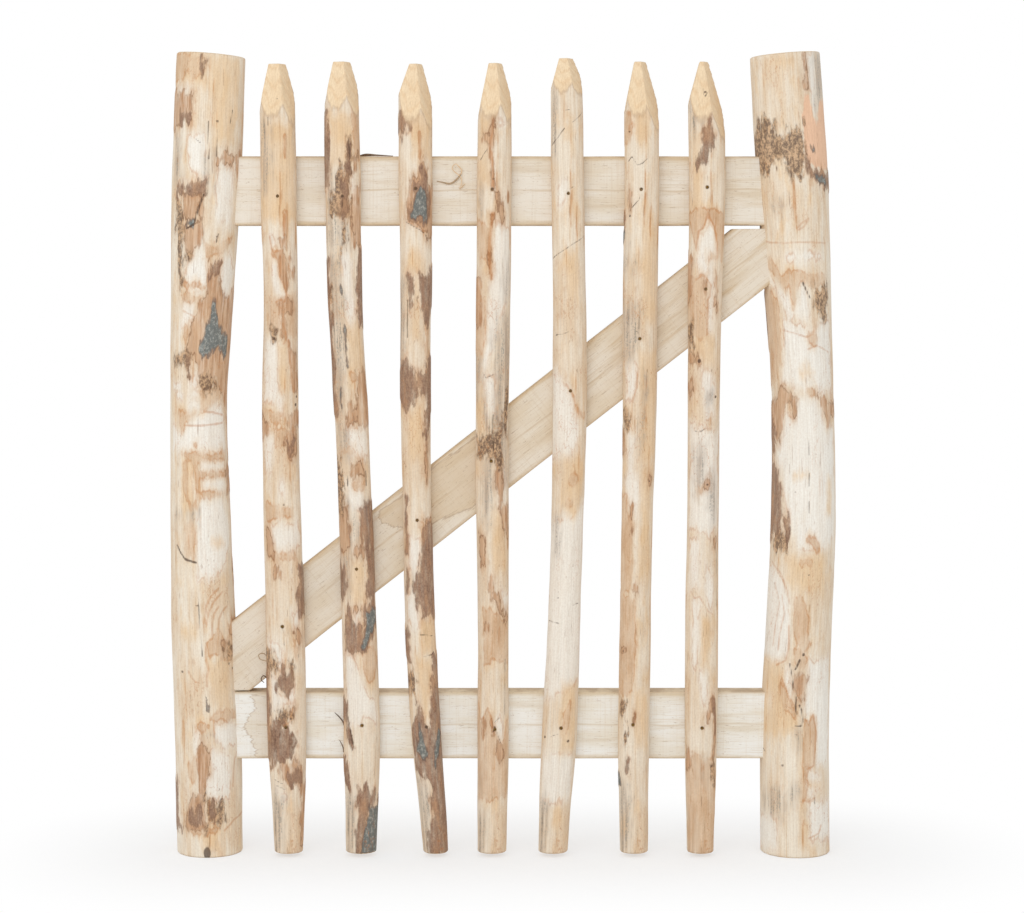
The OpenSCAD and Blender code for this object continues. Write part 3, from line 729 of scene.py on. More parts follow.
# Orange-brown lines where a skin of wood has torn off, written like the cracks
LINES = {
    "left_post": [
        (1.2, (30, 672), (60, 671), (90, 667)),
        (1.2, (-40, 650), (20, 651), (90, 655)),
        (1.0, (-50, 820), (-10, 812)),
        (1.0, (15, 355), (22, 380), (36, 395), (62, 408)),
        (1.0, (20, 350), (30, 372), (46, 388), (72, 402)),
        (1.0, (55, 346), (60, 362), (70, 373), (82, 379)),
        (1.0, (36, 332), (38, 352), (46, 370), (60, 380)),
        (1.0, (20, 326), (15, 305), (22, 286), (15, 272), (16, 260)),
        (0.9, (-40, 282), (-30, 272), (-20, 267), (-8, 265)),
        (1.2, (55, 40), (80, 54), (100, 62)),
        (1.0, (80, 105), (84, 140), (90, 156)),
        (0.8, (5, 32), (10, 42)),
    ],
    "right_post": [
        (0.8, (-5, 942), (10, 950), (30, 956), (15, 944), (0, 940)),
        (0.7, (-100, 930), (-80, 924), (-40, 922), (0, 922), (80, 918)),
        (0.7, (-60, 793), (-30, 788), (10, 781), (30, 785)),
        (0.7, (10, 763), (40, 768), (82, 756)),
        (0.9, (-95, 446), (-70, 430), (-50, 405), (-41, 385)),
        (0.8, (-85, 415), (-70, 385), (-78, 350), (-82, 320)),
        (0.8, (-64, 398), (-55, 370), (-65, 340), (-68, 315)),
        (1.0, (-40, 352), (-38, 320), (-45, 300), (-70, 292)),
        (0.9, (-55, 266), (-40, 256), (-25, 236), (-15, 225)),
        (1.0, (14, 212), (30, 207), (42, 217), (50, 190), (46, 140), (26, 136)),
        (0.9, (14, 88), (30, 86), (45, 91)),
        (1.0, (30, 30), (45, 33), (60, 36), (68, 48)),
    ],
    "picket_1": [
        (0.8, (46, 1076), (44, 1042)),
        (1.6, (36, 960), (32, 945), (30, 930)),
        (1.3, (-50, 928), (-44, 910), (-20, 906), (15, 908), (5, 895), (5, 870), (30, 852), (40, 842)),
        (1.6, (50, 776), (56, 750), (66, 728), (76, 700)),
        (1.2, (-20, 832), (10, 836), (30, 832), (42, 846)),
        (1.2, (20, 800), (40, 780), (24, 770)),
        (0.9, (55, 900), (62, 892), (55, 882), (70, 876), (75, 868)),
        (0.7, (-78, 506), (-20, 512)),
        (0.7, (20, 240), (34, 226), (20, 206), (-10, 200)),
    ],
    "picket_3": [
        (0.7, (26, 1080), (30, 1040)),
        (0.8, (-50, 950), (0, 944), (60, 934)),
    ],
    "picket_4": [
        (0.8, (-10, 1108), (-10, 1080), (-30, 1060), (-12, 1044), (-4, 1020), (-8, 1002)),
        (2.0, (-5, 962), (-14, 944), (-20, 926), (-26, 900), (-18, 882), (-12, 866)),
        (0.9, (-92, 236), (-76, 209), (-60, 212), (-35, 228), (-10, 210), (-4, 190)),
    ],
    "picket_5": [
        (0.8, (-30, 712), (0, 702), (20, 692), (32, 681), (50, 671), (80, 660)),
    ],
    "picket_6": [
        (0.7, (-34, 745), (-14, 735), (-24, 705), (-45, 685)),
        (0.7, (5, 222), (6, 206)),
    ],
    "picket_7": [
        (0.8, (-60, 1112), (-10, 1132), (50, 1116)),
        (0.9, (-92, 950), (-72, 922), (-60, 907), (-50, 936), (-20, 941), (0, 963), (20, 951), (40, 943),
         (55, 921), (60, 896)),
        (0.8, (-60, 864), (-20, 872), (10, 863), (30, 856), (25, 840), (10, 836), (10, 784)),
        (0.6, (-72, 402), (-50, 392), (-20, 395), (30, 373), (60, 368)),
    ],
}

# Screws of each picket from the top rail over the brace to the bottom rail: place across and height in mm
SCREWS = {
    "picket_1": [(0, 987), (-8, 350), (0, 198)],
    "picket_2": [(0, 987), (0, 436), (6, 201)],
    "picket_3": [(5, 998), (4, 509), (10, 199)],
    "picket_4": [(-10, 997), (-5, 597), (12, 195)],
    "picket_5": [(2, 991), (2, 701), (6, 197)],
    "picket_6": [(-8, 997), (-5, 778), (-10, 202)],
    "picket_7": [(-4, 1000), (-2, 851), (0, 197)],
}

# Stains on the boards: outlines in mm from the lower left corner of the board's box
BOARD_STAINS = {
    "bottom_rail": [
        ((78, 96), (85, 78), (75, 63), (66, 48), (77, 32), (83, 16), (86, 2), (111, 2), (111, 102)),
    ],
    "brace": [
        ((232, 271), (230, 264), (235, 255), (251, 249), (263, 247), (304, 250), (322, 258), (345, 268),
         (369, 277), (400, 300), (400, 400), (330, 350), (300, 327), (263, 295), (252, 286), (240, 279)),
    ],
}

# How warm each board is in colour, from 0 to 1
BOARD_WARMTH = {"bottom_rail": 0.0, "top_rail": 0.65, "brace": 1.0}

# Loose strings and slivers: the board they lie on, how dark they are from 0 to 1, and points in mm along it
# from its left end, up from its lower edge and out from its front, each with the string's half width
FIBRES = [
    ("top_rail", 0.5, (352, 66, 1, 0.5), (362, 64, 2, 0.8), (371, 62, 2, 1.0), (380, 67, 3, 1.3),
     (388, 76, 4, 0.9)),
    ("top_rail", 0.1, (388, 76, 4, 0.8), (389, 82, 4, 0.7), (384, 88, 5, 0.6), (380, 91, 5, 0.6),
     (375, 86, 5, 0.6), (377, 81, 5, 0.6), (383, 76, 6, 0.6), (388, 71, 5, 0.6), (389, 62, 4, 0.5),
     (385, 55, 3, 0.4)),
    ("top_rail", 0.25, (386, 54, 2, 0.4), (390, 58, 3, 0.7), (394, 62, 2, 0.4)),
    ("top_rail", 0.75, (235, 103.5, -14, 0.6), (247, 105, -12, 2.0), (264, 104.5, -12, 1.2),
     (287, 103.5, -14, 0.5)),
    ("bottom_rail", 0.9, (204, 72, 6, 0.4), (211, 66, 9, 0.9), (217, 58, 10, 1.0), (220, 43, 6, 0.6)),
    ("bottom_rail", 0.8, (211, 30, 5, 0.4), (216, 21, 8, 0.8), (217, 11, 4, 0.5)),
    ("bottom_rail", 0.8, (98, 117, 4, 0.5), (94, 122, 6, 0.8), (97, 128, 7, 0.8), (102, 125, 7, 0.8),
     (103, 118, 5, 0.5)),
    ("bottom_rail", 0.5, (102, 150, 5, 0.5), (93, 153, 7, 0.7), (91, 160, 8, 0.7), (98, 162, 8, 0.7),
     (103, 157, 6, 0.5)),
]


def column(values):
    """Values as one column, so that they spread over the columns of a grid."""
    return np.asarray(values, float)[:, None]


def srgb(colour):
    """A colour as it is seen on a screen, turned into the linear light that shaders work in."""
    c = np.asarray(colour[:3], float)
    linear = np.where(c <= 0.04045, c / 12.92, ((c + 0.055) / 1.055) ** 2.4)
    return (*linear, 1.0)


def node_points(name):
    """All corner points of a CAD node, one row each, in metres."""
    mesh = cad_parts[name].data
    points = np.empty(len(mesh.vertices) * 3)
    mesh.vertices.foreach_get("co", points)
    return points.reshape(-1, 3)


def node_faces(name):
    """Normals, middles and areas of the triangles of a CAD node."""
    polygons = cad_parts[name].data.polygons
    normals = np.empty(len(polygons) * 3)
    middles = np.empty(len(polygons) * 3)
    areas = np.empty(len(polygons))
    polygons.foreach_get("normal", normals)
    polygons.foreach_get("center", middles)
    polygons.foreach_get("area", areas)
    return normals.reshape(-1, 3), middles.reshape(-1, 3), areas


def ring_stations(name, whole=0.8):
    """Height, middle x of the front, then low and high y and low and high x of each whole ring of a pole.

    A whole ring of the CAD node is a level with many points that spans the pole's full depth.
    """
    points = np.unique(np.round(node_points(name), 5), axis=0)
    rings = []
    for level in np.unique(points[:, 2]):
        ring = points[points[:, 2] == level]
        if len(ring) > 12:
            low = ring.min(axis=0)
            high = ring.max(axis=0)
            rings.append((level, ring[np.argmin(ring[:, 1]), 0], low[1], high[1], low[0], high[0]))
    rings = np.array(rings)
    depth = rings[:, 3] - rings[:, 2]
    return rings[depth > whole * np.median(depth)]


def smooth_through(heights, stations, values):
    """Values at any height on a smooth cubic curve through the stations, run on straight past the last."""
    slopes = np.gradient(values, stations)
    at = np.clip(np.searchsorted(stations, heights) - 1, 0, len(stations) - 2)
    span = stations[at + 1] - stations[at]
    t = np.clip((heights - stations[at]) / span, 0, 1)
    curve = (
        values[at] * (1 + 2 * t) * (1 - t) ** 2
        + slopes[at] * span * t * (1 - t) ** 2
        + values[at + 1] * t * t * (3 - 2 * t)
        + slopes[at + 1] * span * t * t * (t - 1)
    )
    return curve + slopes[-1] * np.maximum(heights - stations[-1], 0)


def ripple(across, along, seed, size, waves=9):
    """Gentle unevenness: a sum of sine waves of random direction and phase, about -1 to 1.

    size is the length of the waves across and along the grain, in the units of across and along.
    """
    draw = np.random.default_rng(seed)
    total = np.zeros(np.broadcast(across, along).shape)
    for _ in range(waves):
        turn = draw.uniform(-1, 1, 2)
        phase = draw.uniform(0, 2 * math.pi)
        total += np.sin(2 * math.pi * (turn[0] * across / size[0] + turn[1] * along / size[1]) + phase)
    return total / math.sqrt(2 * waves)


def round_place(place, half):
    """Arc length in mm of a place across a pole: its arcsine, run on round the side past the edge."""
    share = np.asarray(place, float) / 100
    over = np.abs(share) - np.minimum(np.abs(share), 1)
    return half * (np.arcsin(np.clip(share, -1, 1)) + np.sign(share) * over)


def oval(middle, half_place, half_height, sides=12):
    """Corners of an oval patch, one row each."""
    turn = np.linspace(0, 2 * math.pi, sides, endpoint=False)
    places = middle[0] + half_place * np.cos(turn)
    return np.stack([places, middle[1] + half_height * np.sin(turn)], axis=-1)


def line_distance(across, along, points):
    """Least distance to an open line through the points."""
    least = np.full(across.shape, np.inf)
    for (x0, y0), (x1, y1) in zip(points[:-1], points[1:]):
        dx = x1 - x0
        dy = y1 - y0
        t = np.clip(((across - x0) * dx + (along - y0) * dy) / (dx * dx + dy * dy + 1e-9), 0, 1)
        least = np.minimum(least, np.hypot(across - x0 - t * dx, along - y0 - t * dy))
    return least


def outline_distance(across, along, corners):
    """Signed distance to a closed outline, positive inside: the least distance to its edges, with the sign
    from how often a ray to the right crosses them."""
    closed = np.array([*corners, corners[0]], float)
    inside = np.zeros(across.shape, bool)
    for (x0, y0), (x1, y1) in zip(closed[:-1], closed[1:]):
        slant = (x1 - x0) / (y1 - y0 + 1e-9)
        inside ^= ((y0 > along) != (y1 > along)) & (across < x0 + (along - y0) * slant)
    least = line_distance(across, along, closed)
    return np.where(inside, least, -least)


def paint_layers(name, across, along, half):
    """Signed distances in mm of every layer on a pole: for each layer the greatest over its patches.

    across is the arc length from the middle of the front and along the height, both in mm.
    """
    layers = {layer: np.full(across.shape, -FAR) for layer in LAYERS}
    heights = along[:, 0]

    def add(layer, found, rows=slice(None)):
        layers[layer][rows] = np.maximum(layers[layer][rows], found)

    for layer, *outline in PATCHES[name]:
        corners = np.array(outline if isinstance(outline[1], tuple) else oval(*outline), float)
        corners[:, 0] = round_place(corners[:, 0], half)
        low = np.searchsorted(heights, corners[:, 1].min() - FAR / GRAIN_PULL)
        high = np.searchsorted(heights, corners[:, 1].max() + FAR / GRAIN_PULL)
        corners[:, 1] *= GRAIN_PULL
        rows = slice(low, high)
        add(layer, outline_distance(across[rows], along[rows] * GRAIN_PULL, corners), rows)
    # Each screw head gets a dark ring of painted shade in its dent, kept in the mark layer
    screw_shade_rings = [(*screw, SCREW_SHADE_RADIUS) for screw in SCREWS.get(name, [])]
    for place, height, radius in [*KNOTS.get(name, []), *screw_shade_rings]:
        add("mark", radius - np.hypot(across - round_place(place, half), along - height))
    for layer, table in (("mark", CRACKS), ("line", LINES)):
        for width, *points in table.get(name, []):
            line = [(float(round_place(place, half)), height) for place, height in points]
            add(layer, width - line_distance(across, along, line))
    return {layer: np.clip(field, -FAR, FAR) for layer, field in layers.items()}


def smooth_step(low, high, value):
    """0 below low, 1 above high and an S curve between."""
    t = np.clip((value - low) / (high - low), 0, 1)
    return t * t * (3 - 2 * t)


def tube_mesh(name, tubes, fields, strip_ends=False):
    """One mesh of closed tubes from an array of tubes, rings and points: quads between the rings, and at
    both ends a fan to the middle, or with strip_ends a strip of quads between the two halves of the ring.

    fields are values or vectors for each point, kept as attributes of the mesh.
    """
    count, rows, columns = tubes.shape[:3]
    ring = np.arange(columns)
    after = (ring + 1) % columns
    start = np.arange(rows - 1)[:, None] * columns
    over = start + columns
    quads = np.stack([start + ring, start + after, over + after, over + ring], axis=-1).reshape(-1, 4)
    last = (rows - 1) * columns
    points = tubes.reshape(count, -1, 3)
    if strip_ends:
        one = np.arange(columns // 2 - 1)
        far = columns - 1 - one
        foot = np.stack([one, far, far - 1, one + 1], axis=-1)
        head = np.stack([one, one + 1, far - 1, far], axis=-1) + last
        quads = np.concatenate([quads, foot, head])
        fans = np.zeros((0, 3), int)
    else:
        points = np.concatenate([points, tubes[:, [0, -1]].mean(axis=2)], axis=1)
        foot = np.stack([np.full(columns, rows * columns), after, ring], axis=-1)
        head = np.stack([np.full(columns, rows * columns + 1), last + ring, last + after], axis=-1)
        fans = np.concatenate([foot, head])
    shift = np.arange(count)[:, None, None] * points.shape[1]
    corners = np.concatenate([(quads + shift).ravel(), (fans + shift).ravel()])
    sizes = np.concatenate([np.full(count * len(quads), 4), np.full(count * len(fans), 3)])
    mesh = bpy.data.meshes.new(name)
    mesh.vertices.add(count * points.shape[1])
    mesh.vertices.foreach_set("co", points.ravel())
    mesh.loops.add(len(corners))
    mesh.loops.foreach_set("vertex_index", corners.astype(np.int32))
    mesh.polygons.add(len(sizes))
    mesh.polygons.foreach_set("loop_start", (np.cumsum(sizes) - sizes).astype(np.int32))
    mesh.polygons.foreach_set("use_smooth", np.ones(len(sizes), bool))
    for field, values in fields.items():
        whole = values.reshape(count, rows * columns, -1)
        if not strip_ends:
            ends = values.reshape(count, rows, columns, -1)[:, [0, -1]].mean(axis=2)
            whole = np.concatenate([whole, ends], axis=1)
        kind, slot = ("FLOAT_VECTOR", "vector") if whole.shape[2] == 3 else ("FLOAT", "value")
        attribute = mesh.attributes.new(field, kind, "POINT")
        attribute.data.foreach_set(slot, whole.ravel().astype(np.float32))
    mesh.update()
    mesh.validate()
    return mesh


def add_piece(name, mesh, material, node=None):
    """Links a mesh as a piece, which may stand for a CAD node."""
    piece = bpy.data.objects.new(name, mesh)
    bpy.context.scene.collection.objects.link(piece)
    mesh.materials.append(material)
    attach(piece, "root")
    if node:
        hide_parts(node)
    return piece


def pole_rows(low, high, bevel, fine_from, step, fine_step):
    """Heights of a pole's side rows between two bevelled ends: even steps, closer above fine_from."""
    plain = np.arange(low + bevel, fine_from, step)
    close = np.arange(fine_from, high - bevel, fine_step)
    return np.concatenate([plain, close, [high - bevel]])


def capped(side, low, high, bevel_share):
    """Heights, sizes and depths of all rows of a pole: the side rows at full size, and at both ends cap
    rows that shrink from the bevel to near the middle at the end's own height.

    The depth says how far in mm a row lies inside a sawn end: above 0 on the caps and below 0 up the side.
    """
    shrink = np.array([*CAP_SIZES, 1 - bevel_share])
    heights = np.concatenate([np.full(len(shrink), low), side, np.full(len(shrink), high)])
    sizes = np.concatenate([shrink, np.ones(len(side)), shrink[::-1]])
    inner = (1 - shrink) * CAP_DEPTH + 1
    outer = -np.clip(np.minimum(side - low, high - side) / MM, 0, FAR)
    return heights, sizes, np.concatenate([inner, outer, inner[::-1]])


def raise_layers(layers, across, along, seed):
    """How far in mm the surface stands out: gentle ripples, torn layers of bast and bark, and knots."""
    jag = 2.5 * ripple(across, along, seed + 1, (9, 40), 12)
    lift = 0.50 * ripple(across, along, seed, (60, 130)) + 0.25 * ripple(across, along, seed + 2, (16, 70))
    lift = lift + 0.5 * smooth_step(-1.5, 1.5, np.maximum(layers["tan"], layers["rust"]) + jag)
    lift = lift + 0.9 * smooth_step(-1.5, 1.5, layers["bark"] + jag)
    lift = lift + 0.7 * smooth_step(-1.5, 1.5, layers["grey"] + jag)
    lift = lift - 0.3 * smooth_step(-2, 2, layers["pale"] + jag)
    lift = lift - 0.5 * smooth_step(-0.8, 1.2, layers["mark"])
    return lift


def post_piece(name, look, material, seed):
    """A crooked round post: circles whose middle and radius follow the CAD rings, cut by its sloping top.

    x = middle + r sin(turn), y = middle - r cos(turn), and the height is stretched to the top's plane. The
    back, which is a guess, carries the same patches upside down.
    """
    stations = ring_stations(name)
    level = stations[:, 0]
    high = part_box(name)[1]
    normals, middles, areas = node_faces(name)
    top = (normals[:, 2] > 0.9) & (middles[:, 2] > 0.9 * high.z)
    slope = np.average(normals[top], axis=0, weights=areas[top])
    pivot = np.average(middles[top], axis=0, weights=areas[top])
    row = look.post_row
    side = pole_rows(0.0, high.z, look.bevel, high.z - look.bevel - row, row, row)
    heights, sizes, depths = capped(side, 0.0, high.z, look.bevel / POST_RADIUS)
    turn = np.linspace(-math.pi, math.pi, look.post_columns, endpoint=False)[None, :]
    mid_x = column(smooth_through(heights, level, stations[:, 1]))
    mid_y = column(smooth_through(heights, level, (stations[:, 2] + stations[:, 3]) / 2))
    radius = column(smooth_through(heights, level, (stations[:, 3] - stations[:, 2]) / 2))
    half = radius.mean() / MM
    across = turn * half + 0 * mid_x
    along = column(heights) / MM + 0 * turn
    layers = paint_layers(name, across, along, half)
    behind = (np.abs(turn) - POST_BACK) * half
    back_turn = turn - math.pi * np.sign(turn)
    back = paint_layers(name, back_turn * half + 0 * mid_x, high.z / MM - along[::-1], half)
    layers = {key: np.maximum(layers[key], np.minimum(back[key][::-1], behind)) for key in LAYERS}
    layers["mark"] = np.where(behind > 0, -FAR, layers["mark"])
    lift = raise_layers(layers, across, along, seed) - look.inset / MM
    reach = column(sizes) * (radius + MM * lift * (column(sizes) > 0.9))
    x = mid_x + reach * np.sin(turn)
    y = mid_y - reach * np.cos(turn)
    face = pivot[2] - (slope[0] * (x - pivot[0]) + slope[1] * (y - pivot[1])) / slope[2]
    z = column(heights) / high.z * face
    rings = np.stack([x, y, np.minimum(z, high.z)], axis=-1)
    rings = np.clip(rings, np.array(cad_box[0]), np.array(cad_box[1]))
    fields = dict(layers)
    fields["grain"] = np.stack([x - mid_x, y - mid_y, column(heights) + 0 * x], axis=-1)
    fields["cut"] = column(depths) + 0 * x
    mesh = tube_mesh(f"{name}_wood", rings[None], fields)
    return add_piece(f"{name}_wood", mesh, material, name)


def point_planes(name):
    """Normals and distances of the three flat cuts of a picket's point: the largest groups of triangles
    near the tip that share one normal and lean back from it."""
    normals, middles, areas = node_faces(name)
    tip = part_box(name)[1].z
    leans = (normals[:, 2] > 0.12) & (normals[:, 2] < 0.9) & (middles[:, 2] > tip - POINT_REACH)
    planes = []
    for _ in range(3):
        first = np.argmax(np.where(leans, areas, 0))
        normal = normals[first]
        planes.append((normal, float(normal @ middles[first])))
        leans = leans & (normals @ normal < 0.999)
    return planes


def picket_piece(name, look, material, seed):
    """A half-round picket with a cut point: ovals with a flat back that follow the CAD rings, drawn in
    along spokes from a core near the back wherever one of the point's flat cuts lies nearer."""
    stations = ring_stations(name, 0.999)
    level = stations[:, 0]
    low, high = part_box(name)
    side = pole_rows(low.z, high.z, look.bevel, high.z - POINT_REACH, look.picket_row, look.point_row)
    heights, sizes, depths = capped(side, low.z, high.z, look.bevel / PICKET_RADIUS)
    mid_x = column(smooth_through(heights, level, (stations[:, 4] + stations[:, 5]) / 2))
    half_w = column(smooth_through(heights, level, (stations[:, 5] - stations[:, 4]) / 2))
    half = float(half_w.mean()) / MM
    back_y = high.y - look.back_gap
    half_d = (back_y - low.y) / PICKET_DEEP
    arc = np.linspace(-PICKET_TURN, PICKET_TURN, look.picket_columns)
    flat = np.linspace(1, -1, FLAT_COLUMNS + 2)[1:-1]
    turn = np.concatenate([arc, np.zeros(len(flat))])[None, :]
    on_back = np.concatenate([np.zeros(len(arc), bool), np.ones(len(flat), bool)])[None, :]
    wide = np.concatenate([np.sin(arc), flat * math.sin(PICKET_TURN)])[None, :]
    deep = np.concatenate([-np.cos(arc), np.full(len(flat), -math.cos(PICKET_TURN))])[None, :]
    x = mid_x + half_w * wide
    y = low.y + half_d * (1 + deep) + 0 * x
    z = column(heights) + 0 * x
    core = np.stack([mid_x + 0 * x, np.full(x.shape, back_y - PICKET_CORE), z], axis=-1)
    spoke = np.stack([x, y, z], axis=-1) - core
    length = np.linalg.norm(spoke, axis=-1)

    # How far along its spoke each point may lie before the nearest cut, far past 1 where there is none
    nearest = np.full(x.shape, 9.0)
    for normal, distance in point_planes(name):
        outward = spoke @ normal
        leaves = outward > 1e-6
        reach = (distance - core @ normal) / np.where(leaves, outward, 1)
        nearest = np.where(leaves, np.minimum(nearest, reach), nearest)
    drawn = np.minimum(nearest, 1.0)

    across = np.where(np.abs(turn) > math.pi / 2, turn, np.arcsin(np.clip(drawn * wide, -1, 1))) * half
    across = np.where(on_back, np.where(wide > 0, BACK_TURN, -BACK_TURN) * half, across)
    layers = paint_layers(name, across, z / MM, half)
    lift = raise_layers(layers, across, z / MM, seed) - look.inset / MM
    plain = on_back | (np.abs(turn) > PLAIN_TURN)
    fade = np.where(plain, 0.0, 1.0) * smooth_step(-RIPPLE_FADE, 0, (nearest - 1) * half)
    grow = 1 + MM * lift * fade / np.maximum(length, LEAST_SPOKE)
    points = core + spoke * (drawn * grow * column(sizes))[..., None]
    cut = np.maximum(column(depths) + 0 * x, np.clip((1 - nearest) * length / MM, -FAR, FAR))
    fields = dict(layers)
    fields["grain"] = np.stack([points[..., 0] - mid_x, points[..., 1] - back_y, z], axis=-1)
    fields["cut"] = np.where(on_back, np.maximum(cut, BACK_CUT), cut)
    mesh = tube_mesh(f"{name}_wood", points[None], fields)
    return add_piece(f"{name}_wood", mesh, material, name)


def board_profile(half_w, half_d, rounding, corner_points=5, face_points=20):
    """Outline of a board's section as places across and in depth: from the top edge over the front to the
    bottom edge, straight with quarter circles at the two corners, and back behind in the same way."""
    bend = np.linspace(0, math.pi / 2, corner_points)
    face = np.linspace(half_w - rounding, -half_w + rounding, face_points + 2)[1:-1]
    across = np.concatenate([
        [half_w], half_w - rounding + rounding * np.cos(bend), face,
        -half_w + rounding - rounding * np.sin(bend), [-half_w]])
    deep = np.concatenate([
        [-half_d / 3], -half_d + rounding - rounding * np.sin(bend), np.full(len(face), -half_d),
        -half_d + rounding - rounding * np.cos(bend), [-half_d / 3]])
    return np.concatenate([across, across[::-1]]), np.concatenate([deep, -deep[::-1]])


def board_frame(name):
    """Where a board's middle line starts, which ways it runs and faces up, its half width and its half
    thickness, read from the long faces of its CAD node: those in the gate's plane with the most area."""
    normals, middles, areas = node_faces(name)
    low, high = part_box(name)
    inplane = np.abs(normals[:, 1]) < 0.01
    best = np.argmax(np.where(inplane & (normals[:, 2] > 0.3), areas, 0))
    upper = normals[best]
    upper_at = float(middles[best] @ upper)
    under = inplane & (normals @ upper < -0.999)
    lower_at = float((middles[under] @ upper).min())
    run = np.array([upper[2], 0.0, -upper[0]])
    start = upper * (upper_at + lower_at) / 2
    start = start + run * (low.x - start[0]) / run[0]
    start[1] = (low.y + high.y) / 2
    return start, run, upper, (upper_at - lower_at) / 2, (high.y - low.y) / 2


def board_piece(name, look, material, seed):
    """A sawn board: a rounded rectangle carried along its middle line, each line of it ending where it
    meets the sides of the board's own box. It keeps its places, its stains and its warmth as attributes."""
    start, run, up, half_w, half_d = board_frame(name)
    low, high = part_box(name)
    across, deep = board_profile(half_w, half_d, look.board_rounding)
    level = abs(run[2]) < 1e-3
    rise = max(run[2], 1e-6)
    from_x = (low.x - start[0] - across * up[0]) / run[0]
    to_x = (high.x - start[0] - across * up[0]) / run[0]
    first = from_x if level else np.maximum(from_x, (low.z - start[2] - across * up[2]) / rise)
    last = to_x if level else np.minimum(to_x, (high.z - start[2] - across * up[2]) / rise)
    share = np.linspace(0, 1, look.board_rows)[:, None]
    place = first + share * (last - first)
    wave = look.board_wave * ripple(place / MM, across / MM, seed, (160, 400))
    spread = across * (1 - (look.board_wave + np.abs(wave)) / half_w)
    dent = deep * (1 - BOARD_DENT * (1 + ripple(place / MM, across / MM, seed + 1, (50, 60))))
    points = start + place[..., None] * run + spread[..., None] * up
    points[..., 1] += dent
    stain = np.full(place.shape, -FAR)
    for outline in BOARD_STAINS.get(name, []):
        found = outline_distance((points[..., 0] - low.x) / MM, (points[..., 2] - low.z) / MM, outline)
        stain = np.maximum(stain, found)
    fields = {
        "board": np.stack([place, across + 0 * place, deep + 0 * place], axis=-1),
        "stain": np.clip(stain, -FAR, FAR),
        "warmth": np.full(place.shape, BOARD_WARMTH[name]),
    }
    mesh = tube_mesh(f"{name}_wood", points[None], fields, strip_ends=True)
    return add_piece(f"{name}_wood", mesh, material, name)


def loose_fibres(material, rows=40, sides=8, flatness=0.5):
    """Loose strings of bast and slivers of bark: flattened round tubes along smooth curves through the
    points of each string, every ring set square to its curve."""
    share = np.linspace(0, 1, rows)
    turn = np.linspace(0, 2 * math.pi, sides, endpoint=False)[:, None]
    tubes = []
    for board, _, *points in FIBRES:
        low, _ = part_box(board)
        places = np.array(points, float) * MM
        stations = np.arange(len(places), dtype=float)
        at = share * stations[-1]
        along, up, out, thick = (smooth_through(at, stations, values) for values in places.T)
        middle = np.stack([low.x + along, low.y - out, low.z + up], axis=-1)
        run = np.gradient(middle, axis=0)
        run = run / np.linalg.norm(run, axis=1, keepdims=True)
        wide = np.cross(run, (0, 1, 0))
        wide = wide / np.linalg.norm(wide, axis=1, keepdims=True)
        deep = np.cross(run, wide)
        ring = np.cos(turn) * wide[:, None] + flatness * np.sin(turn) * deep[:, None]
        tubes.append(middle[:, None] + thick[:, None, None] * ring)
    tubes = np.array(tubes)
    dark = np.array([dark for _, dark, *_ in FIBRES])
    mesh = tube_mesh("loose_fibres", tubes, {"dark": np.broadcast_to(dark[:, None, None], tubes.shape[:3])})
    return add_piece("loose_fibres", mesh, material)


def screw_heads(look, material, sides=12):
    """A sunk screw head at each crossing of a picket with a board: a lathed disc with a hollow drive, whose
    radius and depth follow the profile below, set on the picket's front and facing forward."""
    reach = column([1.0, 1.0, 0.95, 0.55, 0.5, 0.2]) * look.screw_radius
    out = column([-1.5, -0.1, 0.15, 0.05, -0.6, -0.8]) * MM
    turn = np.linspace(0, 2 * math.pi, sides, endpoint=False)
    tubes = []
    for name, screws in SCREWS.items():
        stations = ring_stations(name)
        level = stations[:, 0]
        low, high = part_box(name)
        half_d = (high.y - low.y) / PICKET_DEEP
        for place, height in screws:
            share = place / 100
            z = height * MM
            half = np.interp(z, level, (stations[:, 5] - stations[:, 4]) / 2)
            x = np.interp(z, level, (stations[:, 4] + stations[:, 5]) / 2) + share * half
            y = low.y + half_d * (1 - math.sqrt(1 - share * share)) + look.inset - SCREW_PROUD * MM
            ring = [x + reach * np.cos(turn), y - out + 0 * turn, z + reach * np.sin(turn)]
            tubes.append(np.stack(ring, axis=-1))
    mesh = tube_mesh("screw_heads", np.array(tubes), {})
    return add_piece("screw_heads", mesh, material)


